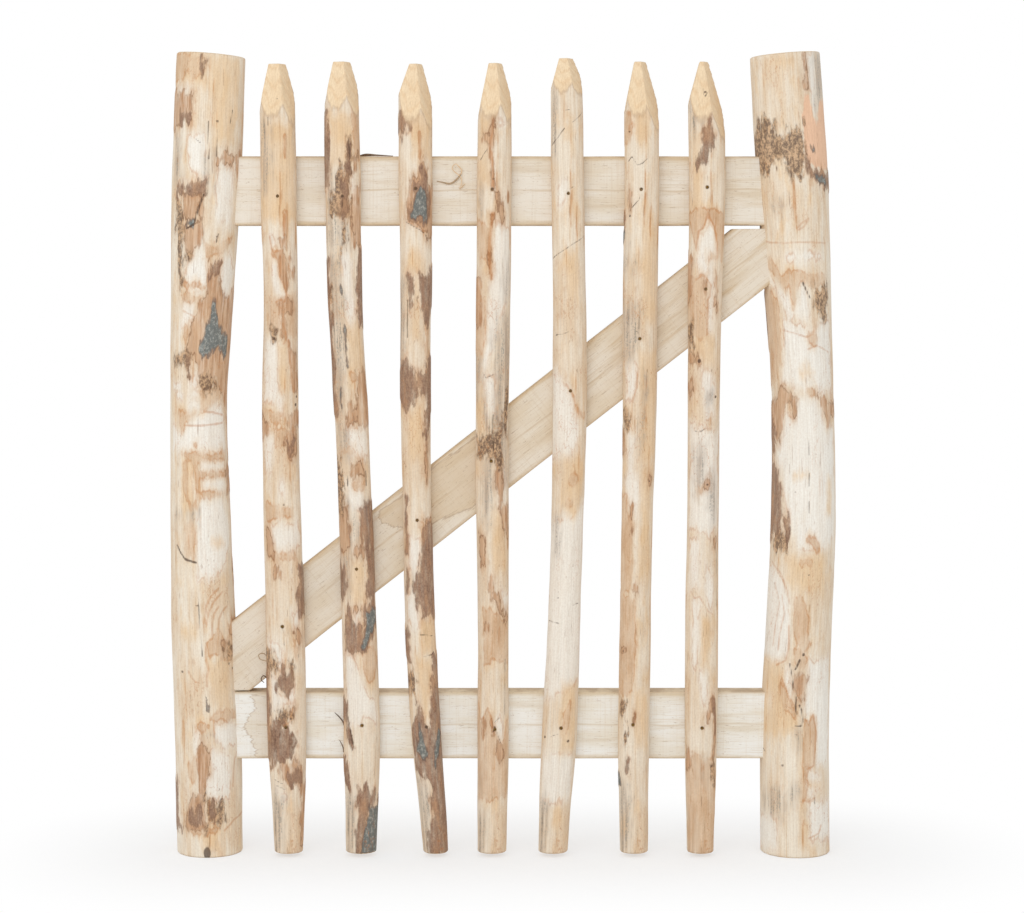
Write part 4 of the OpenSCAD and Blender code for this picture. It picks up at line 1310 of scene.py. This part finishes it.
class Shade:
    """One output of a node, so that shader maths reads as Python: a + b adds a Math node."""

    def __init__(self, tree, socket=None):
        self.tree = tree
        self.socket = socket

    def node(self, kind, settings=None, inputs=None, output=0):
        """Adds a node of a type with its settings, fills or links its inputs and gives back one output."""
        node = self.tree.nodes.new(kind)
        for key, value in (settings or {}).items():
            setattr(node, key, value)
        for key, value in (inputs or {}).items():
            if isinstance(value, Shade):
                self.tree.links.new(value.socket, node.inputs[key])
            else:
                node.inputs[key].default_value = value
        return Shade(self.tree, node.outputs[output])

    def math(self, operation, one, two):
        """A Math node on two values."""
        return self.node("ShaderNodeMath", {"operation": operation}, {0: one, 1: two})

    def __add__(self, other):
        return self.math("ADD", self, other)

    def __sub__(self, other):
        return self.math("SUBTRACT", self, other)

    def __rsub__(self, other):
        return self.math("SUBTRACT", other, self)

    def __mul__(self, other):
        return self.math("MULTIPLY", self, other)

    __radd__ = __add__
    __rmul__ = __mul__

    def size(self):
        """The value without its sign."""
        return self.math("ABSOLUTE", self, 0.0)

    def step(self, low, high):
        """0 below low, 1 above high and an S curve between."""
        return self.node("ShaderNodeMapRange", {"interpolation_type": "SMOOTHSTEP"},
                         {"Value": self, "From Min": low, "From Max": high})

    def blend(self, one, two, kind="MIX"):
        """Colour one where this value is 0 and colour two where it is 1."""
        return self.node("ShaderNodeMix", {"data_type": "RGBA", "blend_type": kind},
                         {0: self, 6: one, 7: two}, 2)

    def stretch(self, scale):
        """A vector with each part multiplied by its own factor."""
        return self.node("ShaderNodeVectorMath", {"operation": "MULTIPLY"}, {0: self, 1: scale})

    def noise(self, scale, detail=3.0, rough=0.55):
        """Cloudy noise about 0.5 on this vector, with its own number of clouds a metre each way."""
        return self.node("ShaderNodeTexNoise", {"noise_dimensions": "3D"}, {
            "Vector": self.stretch(scale), "Scale": 1.0, "Detail": detail, "Roughness": rough})

    def tint(self, colour):
        """This colour multiplied by another."""
        return self.node("ShaderNodeMix", {"data_type": "RGBA", "blend_type": "MULTIPLY"},
                         {0: 1.0, 6: self, 7: colour}, 2)

    def part(self, axis):
        """One part of a vector."""
        return self.node("ShaderNodeSeparateXYZ", None, {0: self}, "XYZ".index(axis))

    def attribute(self, name, output):
        """An attribute that the mesh keeps."""
        return self.node("ShaderNodeAttribute", {"attribute_name": name}, None, output)


def new_material(name):
    """An empty material with its shader, and a start for its node maths."""
    material = bpy.data.materials.new(name)
    material.use_nodes = True
    tree = material.node_tree
    return material, Shade(tree), tree.nodes["Principled BSDF"]


def linear_tones(tones, kind):
    """The tones of one kind of wood in linear light, by their names without the kind."""
    keys = [key for key in tones.bl_rna.properties.keys() if key.startswith(kind)]
    return {key.removeprefix(kind): srgb(getattr(tones, key)) for key in keys}


def seen_rays(tree):
    """1 for what the camera, a gloss or a clear piece sees and 0 for all other light."""
    path = tree.nodes.new("ShaderNodeLightPath")
    camera, glossy, clear = (
        Shade(tree, path.outputs[f"Is {kind} Ray"]) for kind in ("Camera", "Glossy", "Transmission"))
    return (camera + glossy + clear).step(0.0, 1.0)


def finish_surface(start, shader, colour, roughness, height):
    """Links colour, roughness and a bump height in millimetres to a material's shader."""
    bump = start.node("ShaderNodeBump", None, {"Strength": 0.8, "Distance": MM, "Height": height})
    for key, value in (("Base Color", colour), ("Roughness", roughness), ("Normal", bump)):
        start.tree.links.new(value.socket, shader.inputs[key])
    shader.inputs["Specular IOR Level"].default_value = 0.25


def round_wood(name, tones, tint):
    """Peeled round wood: streaky sapwood, and over it torn layers of bast and bark whose edges are the
    stored distances shifted by noise that is drawn out along the grain; growth rings show on the cuts.
    The tint goes over the whole."""
    material, start, shader = new_material(name)
    grain = start.attribute("grain", "Vector")
    layer = {key: start.attribute(key, "Fac") for key in LAYERS}
    cut = start.attribute("cut", "Fac")
    fibre = grain.noise((620, 620, 16), 3)
    streak = grain.noise((150, 150, 6), 4, 0.6)
    cloud = grain.noise((24, 24, 8), 3)
    tear = grain.noise((130, 130, 42), 4, 0.55)
    clump = grain.noise((420, 420, 320), 4, 0.7)
    grit = grain.noise((260, 260, 190), 4, 0.7)
    fleck = grain.noise((500, 500, 110), 2)
    curl = grain.noise((75, 75, 26), 4, 0.6)
    wash = grain.noise((55, 55, 20), 4, 0.6)
    dapple = grain.noise((120, 120, 50), 4, 0.6)
    dash = grain.noise((400, 400, 26), 2)
    vein = grain.noise((300, 300, 16), 4, 0.65)
    shift = tear - 0.5
    mottle = clump * 0.5 + vein * 0.7
    thin = vein.step(0.36, 0.6)
    tone = linear_tones(tones, "wood_")

    def edge(key, ragged):
        return layer[key] + shift * ragged

    def cover(key, ragged, soft):
        return edge(key, ragged).step(-soft, soft)

    def rim(key, ragged, width):
        return 1 - edge(key, ragged).size().step(0.0, width)

    def bleed(key, ragged, reach):
        return edge(key, ragged).step(-reach, 0.0) * wash.step(0.35, 0.6)

    wood = (cloud + streak * 0.6).step(0.62, 1.0).blend(tone["cream"], tone["sap"])
    wood = (wash.step(0.5, 0.72) * 0.6).blend(wood, tone["glow"])
    wood = (dapple.step(0.54, 0.72) * cloud.step(0.38, 0.6) * 0.5).blend(wood, tone["tan_deep"])
    wood = (cover("pale", 16, 7.0) * (wash * 0.5 + 0.55)).blend(wood, tone["pale"])
    wood = (rim("pale", 16, 1.8) * wash.step(0.42, 0.58) * 0.35).blend(wood, tone["thread"])
    wood = (cover("glow", 16, 6.0) * (0.2 + wash)).blend(wood, tone["glow"])
    bare = 1 - cover("pale", 16, 7.0) * 0.75
    wood = (streak.step(0.56, 0.76) * bare * 0.35).blend(wood, tone["streak"])
    wood = (vein.step(0.54, 0.72) * bare * 0.4).blend(wood, tone["streak"])
    ember = streak.step(0.58, 0.68) * wash.step(0.46, 0.6) * bare
    wood = (ember * 0.6).blend(wood, tone["thread"])
    smear = cover("stain", 26, 8.0) * (streak + clump * 0.5).step(0.52, 0.92)
    wood = (smear * 0.7).blend(wood, tone["stain"])
    soot = cover("stain", 26, 8.0) * (vein * 0.8 + clump * 0.6).step(0.7, 0.88)
    wood = (soot * 0.6).blend(wood, tone["grey"])
    wood = (bleed("tan", 18, 8.0) * 0.4).blend(wood, tone["glow"])
    skin = (streak * 0.6 + wash * 0.9).step(0.6, 0.95).blend(tone["tan"], tone["tan_deep"])
    skin = (vein.step(0.5, 0.7) * dapple.step(0.45, 0.6) * 0.6).blend(skin, tone["thread"])
    wood = (cover("tan", 12, 3.0) * (wash * 0.6 + 0.42)).blend(wood, skin)
    wood = (rim("tan", 12, 1.6) * wash.step(0.4, 0.6) * 0.5).blend(wood, tone["thread"])
    wood = (bleed("rust", 20, 9.0) * 0.6).blend(wood, tone["tan_deep"])
    bast = mottle.step(0.45, 0.8).blend(tone["rust"], tone["rust_deep"])
    bast = (wash.step(0.45, 0.7) * 0.45).blend(bast, tone["tan"])
    wood = (cover("rust", 20, 2.5) * (0.38 + thin * 0.52 + shift)).blend(wood, bast)
    wood = (rim("rust", 20, 1.5) * wash.step(0.35, 0.6) * 0.8).blend(wood, tone["rim"])
    salmon = mottle.step(0.62, 0.9).blend(tone["rose"], tone["rust"])
    wood = (cover("rose", 14, 1.5) * 0.95).blend(wood, salmon)
    flake = (grit + dapple * 0.5).step(0.64, 0.9).blend(tone["crust_deep"], tone["crust"])
    wood = (cover("crust", 32, 3.0) * 0.9).blend(wood, flake)
    wood = (bleed("bark", 24, 7.0) * 0.5).blend(wood, tone["rust"])
    rough = mottle.step(0.42, 0.74).blend(tone["bark_deep"], tone["bark"])
    rough = (wash.step(0.5, 0.72) * 0.5).blend(rough, tone["rust"])
    wood = (cover("bark", 26, 3.0) * (0.68 + thin * 0.3 + shift)).blend(wood, rough)
    wood = (rim("bark", 26, 1.5) * thin * 0.5).blend(wood, tone["bark_deep"])
    husk = grit.step(0.44, 0.72).blend(tone["grey"], tone["grey_pale"])
    wood = cover("grey", 14, 1.5).blend(wood, husk)
    wood = (rim("grey", 14, 1.5) * 0.5).blend(wood, tone["bark_deep"])
    wood = (edge("line", 3).step(-1.8, 1.2) * 0.5).blend(wood, tone["thread"])
    squiggle = 1 - (curl - 0.52).size().step(0.002, 0.016)
    wood = (squiggle * cloud.step(0.5, 0.66) * 0.45).blend(wood, tone["thread"])
    # The mark colour paints knots and cracks, and also painted shade: the dark ring in the dent round each
    # screw head and the hole at the left post's foot
    wood = (cover("mark", 2.0, 0.8) * 0.85).blend(wood, tone["mark"])
    wood = ((1 - fleck.step(0.24, 0.32)) * cloud.step(0.4, 0.6) * 0.6).blend(wood, tone["rim"])
    wood = ((1 - dash.step(0.28, 0.34)) * wash.step(0.42, 0.56) * 0.5).blend(wood, tone["rim"])

    flat = grain.stretch((1, 1, 0))
    pith = flat.node("ShaderNodeVectorMath", {"operation": "LENGTH"}, {0: flat}, 1)
    wander = grain.noise((45, 45, 12), 3)
    depth = pith * 1000 + wander * 14
    ring = depth.math("PINGPONG", depth, RING_HALF) * (1 / RING_HALF)
    sawn = (ring.step(0.5, 1.0) * 0.4).blend(tone["cut"], tone["ring"])
    sawn = (cloud.step(0.4, 0.7) * 0.7).blend(sawn, tone["glow"])
    sawn = (cover("mark", 1.0, 0.6) * 0.8).blend(sawn, tone["mark"])
    on_cut = (cut + shift * 6).step(-1.0, 1.0)
    colour = (on_cut * 0.9).blend(wood, sawn)
    lip = 1 - (cut + shift * 6).size().step(0.0, 1.6)
    colour = (lip * 0.25).blend(colour, tone["rim"])
    colour = colour.tint(fibre.step(0.2, 0.8).blend((0.90, 0.88, 0.86, 1), (1.06, 1.06, 1.06, 1)))
    colour = colour.tint(clump.step(0.25, 0.75).blend((0.95, 0.93, 0.91, 1), (1.06, 1.08, 1.09, 1)))
    colour = colour.tint(tint)
    height = fibre * 0.25 + tear * 0.5 + cover("tan", 18, 2.0) * 0.3 + cover("rust", 20, 2.0) * 0.4
    height = height + cover("bark", 24, 2.0) * (0.4 + clump * 1.2) + cover("grey", 14, 1.5) * 0.5
    height = height + cover("crust", 32, 3.0) * clump * 1.5 - cover("mark", 2.0, 0.8) * 0.8
    finish_surface(start, shader, colour, 0.62 + clump * 0.25, height * (1 - on_cut * 0.8))
    return material


def sawn_board(name, tones):
    """Rough sawn board: fine lines along its length crossed by saw marks, a darker line along its middle
    and darker edges, all in the board's own places along, across and in depth in metres, with its stains
    and a tint from cool to warm as the board keeps them."""
    material, start, shader = new_material(name)
    board = start.attribute("board", "Vector")
    across = board.part("Y")
    warmth = start.attribute("warmth", "Fac")
    fibre = board.noise((22, 900, 200), 3)
    broad = board.noise((7, 60, 30), 4, 0.6)
    cloud = board.noise((9, 16, 10), 3)
    wander = board.noise((8, 2, 2), 2)
    speck = board.noise((160, 900, 300), 2, 0.7)
    saw = board.noise((420, 9, 40), 2)
    dash = board.noise((60, 700, 200), 2)
    tone = linear_tones(tones, "board_")
    wood = (cloud * 0.7 + broad * 0.5).step(0.5, 0.8).blend(tone["pale"], tone["warm"])
    wood = (broad.step(0.55, 0.75) * 0.4).blend(wood, tone["line"])
    seam = 1 - (across + (wander - 0.5) * 0.012 - 0.001).size().step(0.0004, 0.0022)
    wood = (seam * board.noise((14, 40, 10), 3).step(0.34, 0.6) * 0.6).blend(wood, tone["line"])
    rim = (across.size() + (broad - 0.5) * 0.012).step(0.043, 0.051)
    wood = (rim * 0.75).blend(wood, tone["edge"])
    worn = across.size().step(0.0485, 0.0515) * board.noise((30, 20, 20), 3).step(0.36, 0.6)
    wood = (worn * 0.6).blend(wood, tone["speck"])
    wood = (fibre.step(0.54, 0.70) * 0.5).blend(wood, tone["line"])
    wood = (saw.step(0.5, 0.75) * 0.22).blend(wood, tone["line"])
    growth = board.noise((5, 70, 30), 5, 0.65)
    wood = (growth.step(0.56, 0.7) * warmth * 0.5).blend(wood, tone["edge"])
    patch = start.attribute("stain", "Fac") + (board.noise((40, 260, 20), 3) - 0.5) * 16
    wood = (patch.step(-1.0, 1.0) * 0.35).blend(wood, tone["edge"])
    wood = ((1 - patch.size().step(0.0, 2.0)) * 0.45).blend(wood, tone["speck"])
    wood = ((1 - speck.step(0.27, 0.37)) * 0.6).blend(wood, tone["speck"])
    wood = ((1 - dash.step(0.27, 0.33)) * cloud.step(0.4, 0.6) * 0.6).blend(wood, tone["speck"])
    wood = wood.tint(warmth.blend((1.05, 1.13, 1.22, 1), (0.93, 0.91, 0.87, 1)))
    height = fibre * 0.3 + saw * 0.15 + broad * 0.3
    finish_surface(start, shader, wood, 0.7 + fibre * 0.2, height)
    return material


def bast_string(name, tones):
    """Dry bast and bark: golden to dark brown as stored for each string, in fine blotches."""
    material, start, shader = new_material(name)
    place = start.node("ShaderNodeTexCoord", None, None, "Object")
    blotch = place.noise((500, 500, 500), 3)
    dark = start.attribute("dark", "Fac")
    share = (dark + (blotch - 0.5) * 0.6).step(0.0, 1.0)
    colour = share.blend(srgb(tones.wood_glow), srgb(tones.wood_mark))
    finish_surface(start, shader, colour, 0.7 + blotch * 0.2, blotch * 0.3)
    return material


def screw_brass(name, tones):
    """Yellow plated steel, dull, with a darker bloom in blotches."""
    material, start, shader = new_material(name)
    place = start.node("ShaderNodeTexCoord", None, None, "Object")
    bloom = place.noise((900, 900, 900), 3)
    colour = bloom.step(0.4, 0.65).blend(srgb(tones.screw_bright), srgb(tones.screw_dark))
    finish_surface(start, shader, colour, 0.35 + bloom * 0.3, bloom * 0.1)
    shader.inputs["Metallic"].default_value = 0.8
    return material


def floor_paper(name, stage):
    """Pale floor that keeps a soft shadow under the gate and runs out into plain white away from it, for
    what the camera, a gloss or a clear piece sees; all other light meets plain pale paper."""
    material, start, shader = new_material(name)
    tree = start.tree
    place = start.node("ShaderNodeTexCoord", None, None, "Object")
    beside = start.math("MAXIMUM", place.part("X").size() - stage.shadow_half, 0.0)
    away = start.math("SQRT", beside * beside + place.part("Y") * place.part("Y"), 0.0)
    grit = place.noise((40, 40, 40), 3)
    colour = grit.blend((0.92, 0.92, 0.92, 1), (0.96, 0.96, 0.96, 1))
    tree.links.new(colour.socket, shader.inputs["Base Color"])
    shader.inputs["Roughness"].default_value = 0.9
    shader.inputs["Specular IOR Level"].default_value = 0.1
    white = away.step(0.0, stage.shadow_far) * (1 - stage.shadow_white) + stage.shadow_white
    glow = start.node("ShaderNodeEmission", None, {"Color": (1, 1, 1, 1), "Strength": 1.0})
    paper = Shade(tree, shader.outputs[0])
    both = start.node("ShaderNodeMixShader", None, {0: seen_rays(tree) * white, 1: paper, 2: glow})
    tree.links.new(both.socket, tree.nodes["Material Output"].inputs["Surface"])
    return material


def colour_property(label, about, red, green, blue):
    return bpy.props.FloatVectorProperty(
        name=label, description=about, size=3, min=0, max=1, subtype="COLOR_GAMMA",
        default=(red / 255, green / 255, blue / 255))


def length_property(label, about, default):
    return bpy.props.FloatProperty(name=label, description=about, default=default, unit="LENGTH")


def count_property(label, about, default, least):
    return bpy.props.IntProperty(name=label, description=about, default=default, min=least)


class GateTones(bpy.types.PropertyGroup):
    """Colours of the gate's woods and screws."""

    wood_cream: colour_property("Cream", "Pale sapwood", 238, 225, 206)
    wood_sap: colour_property("Sapwood", "Tan sapwood", 227, 203, 174)
    wood_pale: colour_property("Pale", "Whitish freshly peeled wood", 243, 237, 227)
    wood_glow: colour_property("Glow", "Orange tint in the wood", 230, 198, 158)
    wood_streak: colour_property("Streak", "Thin darker streaks along the grain", 212, 178, 138)
    wood_stain: colour_property("Stain", "Grey smears", 174, 157, 142)
    wood_tan: colour_property("Skin", "Thin inner bark left on the wood", 221, 191, 160)
    wood_tan_deep: colour_property("Deep skin", "Thicker inner bark", 207, 171, 137)
    wood_rim: colour_property("Rim", "Torn edge of the inner bark", 146, 106, 76)
    wood_thread: colour_property("Thread", "Thin torn lines", 190, 122, 64)
    wood_rust: colour_property("Bast", "Red-brown bast", 207, 160, 121)
    wood_rust_deep: colour_property("Deep bast", "Darker bast", 168, 126, 94)
    wood_rose: colour_property("Rose bast", "Fresh salmon bast", 238, 194, 161)
    wood_crust: colour_property("Crust", "Rough scaly bark", 212, 174, 136)
    wood_crust_deep: colour_property("Deep crust", "Dark grains of the scaly bark", 116, 90, 70)
    wood_bark: colour_property("Bark", "Brown bark", 172, 138, 114)
    wood_bark_deep: colour_property("Deep bark", "Cracks of the bark", 116, 86, 70)
    wood_grey: colour_property("Grey bark", "Outer bark", 116, 118, 114)
    wood_grey_pale: colour_property("Lichen", "Pale specks on the outer bark", 178, 177, 168)
    # This colour also paints shade: the dark ring round each screw head and the hole at the left post's
    # foot
    wood_mark: colour_property("Marks", "Knots and cracks", 88, 68, 54)
    wood_cut: colour_property("Cut", "Freshly cut wood", 243, 219, 184)
    wood_ring: colour_property("Ring", "Growth rings on the cuts", 226, 188, 142)
    board_pale: colour_property("Board", "Sawn board", 241, 232, 219)
    board_warm: colour_property("Warm board", "Warmer stretches of a board", 233, 219, 198)
    board_line: colour_property("Board line", "Lines along a board", 214, 192, 163)
    board_edge: colour_property("Board edge", "Edges of a board", 212, 184, 144)
    board_speck: colour_property("Board specks", "Specks on a board", 168, 136, 104)
    screw_bright: colour_property("Screw", "Yellow plating", 150, 116, 62)
    screw_dark: colour_property("Screw bloom", "Dark plating", 70, 52, 34)


class GateShapes(bpy.types.PropertyGroup):
    """Fineness and small sizes of the gate's pieces."""

    post_columns: count_property("Post columns", "Points round a post", 112, 16)
    picket_columns: count_property("Picket columns", "Points round the front of a picket", 49, 9)
    board_rows: count_property("Board rows", "Points along a board", 260, 2)
    post_row: length_property("Post step", "Height of a row of a post", 0.0021)
    picket_row: length_property("Picket step", "Height of a row of a picket", 0.0022)
    point_row: length_property("Point step", "Height of a row of a picket's point", 0.0014)
    bevel: length_property("Bevel", "Worn edge round the sawn ends", 0.0015)
    inset: length_property("Inset", "Bare wood lies this far inside the pole's girth", 0.0008)
    back_gap: length_property("Back gap", "Air between a picket's back and the boards", 0.0002)
    board_rounding: length_property("Board rounding", "Worn long edges of the boards", 0.0022)
    board_wave: length_property("Board wave", "Unevenness of the boards' edges", 0.0004)
    screw_radius: length_property("Screw radius", "Radius of a screw head", 0.0021)


class GateStage(bpy.types.PropertyGroup):
    """Camera, light and floor."""

    elevation: bpy.props.FloatProperty(
        name="Elevation", description="Camera above the horizon", default=math.radians(4.5),
        subtype="ANGLE")
    distance: length_property("Distance", "Camera from the gate's middle", 3.6)
    lens: bpy.props.FloatProperty(
        name="Lens", description="Focal length in mm on the sensor's width", default=84.375, min=1)
    aim_right: length_property("Aim", "Aim to the right of the left post's foot", 0.4583)
    sky: bpy.props.FloatProperty(
        name="Sky", description="Strength of the even light all round", default=0.74, min=0)
    key: bpy.props.FloatProperty(
        name="Key", description="Watts of the large lamp in front", default=36, min=0)
    shadow_half: length_property("Shadow half", "Half the width of the floor's shadow", 0.45)
    shadow_far: length_property("Shadow far", "The floor is plain white from here", 0.4)
    shadow_white: bpy.props.FloatProperty(
        name="Shadow white", description="Share of plain white in the floor right below the gate",
        default=0.55, min=0, max=1)


def made(name, make, *settings):
    """A material by name, made the first time it is asked for."""
    return bpy.data.materials.get(name) or make(name, *settings)


def dress(names, piece, shapes, material, seed):
    """Makes a piece for each name, each with a seed of its own."""
    for number, name in enumerate(names):
        piece(name, shapes, material, seed + SEED_STEP * number)


def link_facing(name, data, location, facing):
    """Links a camera or a lamp at a location, turned to look along a direction."""
    item = bpy.data.objects.new(name, data)
    item.location = location
    item.rotation_euler = facing.to_track_quat("-Z", "Y").to_euler()
    bpy.context.scene.collection.objects.link(item)
    return item


class GATE_OT_posts(bpy.types.Operator):
    """Dresses the two crooked posts"""

    bl_idname = "gate.posts"
    bl_label = "Posts"

    def execute(self, context):
        scene = context.scene
        wood = made("peeled_post", round_wood, scene.gate_tones, POST_TINT)
        dress(POSTS, post_piece, scene.gate_shapes, wood, 100)
        return {"FINISHED"}


class GATE_OT_pickets(bpy.types.Operator):
    """Dresses the seven pointed pickets"""

    bl_idname = "gate.pickets"
    bl_label = "Pickets"

    def execute(self, context):
        scene = context.scene
        wood = made("peeled_picket", round_wood, scene.gate_tones, PICKET_TINT)
        dress(PICKETS, picket_piece, scene.gate_shapes, wood, 200)
        return {"FINISHED"}


class GATE_OT_boards(bpy.types.Operator):
    """Dresses the two rails and the brace"""

    bl_idname = "gate.boards"
    bl_label = "Rails and brace"

    def execute(self, context):
        scene = context.scene
        wood = made("rough_board", sawn_board, scene.gate_tones)
        dress(BOARDS, board_piece, scene.gate_shapes, wood, 300)
        return {"FINISHED"}


class GATE_OT_fibres(bpy.types.Operator):
    """Lays the loose strings of bast on the boards"""

    bl_idname = "gate.fibres"
    bl_label = "Loose fibres"

    def execute(self, context):
        loose_fibres(made("bast_string", bast_string, context.scene.gate_tones))
        return {"FINISHED"}


class GATE_OT_screws(bpy.types.Operator):
    """Sets a sunk screw head at each crossing"""

    bl_idname = "gate.screws"
    bl_label = "Screws"

    def execute(self, context):
        scene = context.scene
        screw_heads(scene.gate_shapes, made("screw_brass", screw_brass, scene.gate_tones))
        return {"FINISHED"}


class GATE_OT_stage(bpy.types.Operator):
    """Adds the camera, the soft lamp, the even light all round and the floor"""

    bl_idname = "gate.stage"
    bl_label = "Stage"

    def execute(self, context):
        scene = context.scene
        stage = scene.gate_stage
        scene.view_settings.view_transform = "Standard"
        middle = Vector((stage.aim_right, 0.0, cad_box[1].z / 2))
        away = Vector((0.0, -math.cos(stage.elevation), math.sin(stage.elevation)))
        lens = bpy.data.cameras.new("camera")
        lens.sensor_width = SENSOR_W
        lens.lens = stage.lens
        scene.camera = link_facing("camera", lens, middle + away * stage.distance, -away)
        lamp = bpy.data.lights.new("key", "AREA")
        lamp.shape = "RECTANGLE"
        lamp.size = LAMP_W
        lamp.size_y = LAMP_H
        lamp.energy = stage.key
        link_facing("key", lamp, middle + Vector(LAMP_PLACE), -Vector(LAMP_PLACE))
        world = bpy.data.worlds.new("sky")
        world.use_nodes = True
        scene.world = world
        tree = world.node_tree
        light = tree.nodes["Background"].inputs
        light["Color"].default_value = (1, 1, 1, 1)
        tree.links.new((seen_rays(tree) * (1 - stage.sky) + stage.sky).socket, light["Strength"])
        square = [(-1, -1), (1, -1), (1, 1), (-1, 1)]
        mesh = bpy.data.meshes.new("floor")
        mesh.from_pydata([(FLOOR_HALF * x, FLOOR_HALF * y, 0) for x, y in square], [], [(0, 1, 2, 3)])
        mesh.materials.append(floor_paper("floor_paper", stage))
        floor = bpy.data.objects.new("floor", mesh)
        floor.location = (middle.x, 0, 0)
        scene.collection.objects.link(floor)
        return {"FINISHED"}


class GATE_PT_panel(bpy.types.Panel):
    """Lists the steps that dress the gate"""

    bl_idname = "GATE_PT_panel"
    bl_label = "Rustic gate"
    bl_space_type = "VIEW_3D"
    bl_region_type = "UI"
    bl_category = "Gate"

    def draw(self, context):
        for step in STEPS:
            self.layout.operator(step.bl_idname)
        for group in ("gate_tones", "gate_shapes", "gate_stage"):
            settings = getattr(context.scene, group)
            box = self.layout.box()
            for key in settings.bl_rna.properties.keys():
                if key not in ("rna_type", "name"):
                    box.prop(settings, key)


STEPS = [GATE_OT_posts, GATE_OT_pickets, GATE_OT_boards, GATE_OT_fibres, GATE_OT_screws, GATE_OT_stage]
CLASSES = [GateTones, GateShapes, GateStage, *STEPS, GATE_PT_panel]


def register():
    for item in CLASSES:
        bpy.utils.register_class(item)
    bpy.types.Scene.gate_tones = bpy.props.PointerProperty(type=GateTones)
    bpy.types.Scene.gate_shapes = bpy.props.PointerProperty(type=GateShapes)
    bpy.types.Scene.gate_stage = bpy.props.PointerProperty(type=GateStage)


def unregister():
    del bpy.types.Scene.gate_stage
    del bpy.types.Scene.gate_shapes
    del bpy.types.Scene.gate_tones
    for item in reversed(CLASSES):
        bpy.utils.unregister_class(item)


def main():
    """Dresses the gate step by step."""
    register()
    bpy.ops.gate.posts()
    bpy.ops.gate.pickets()
    bpy.ops.gate.boards()
    bpy.ops.gate.fibres()
    bpy.ops.gate.screws()
    bpy.ops.gate.stage()


if __name__ == "__main__":
    main()
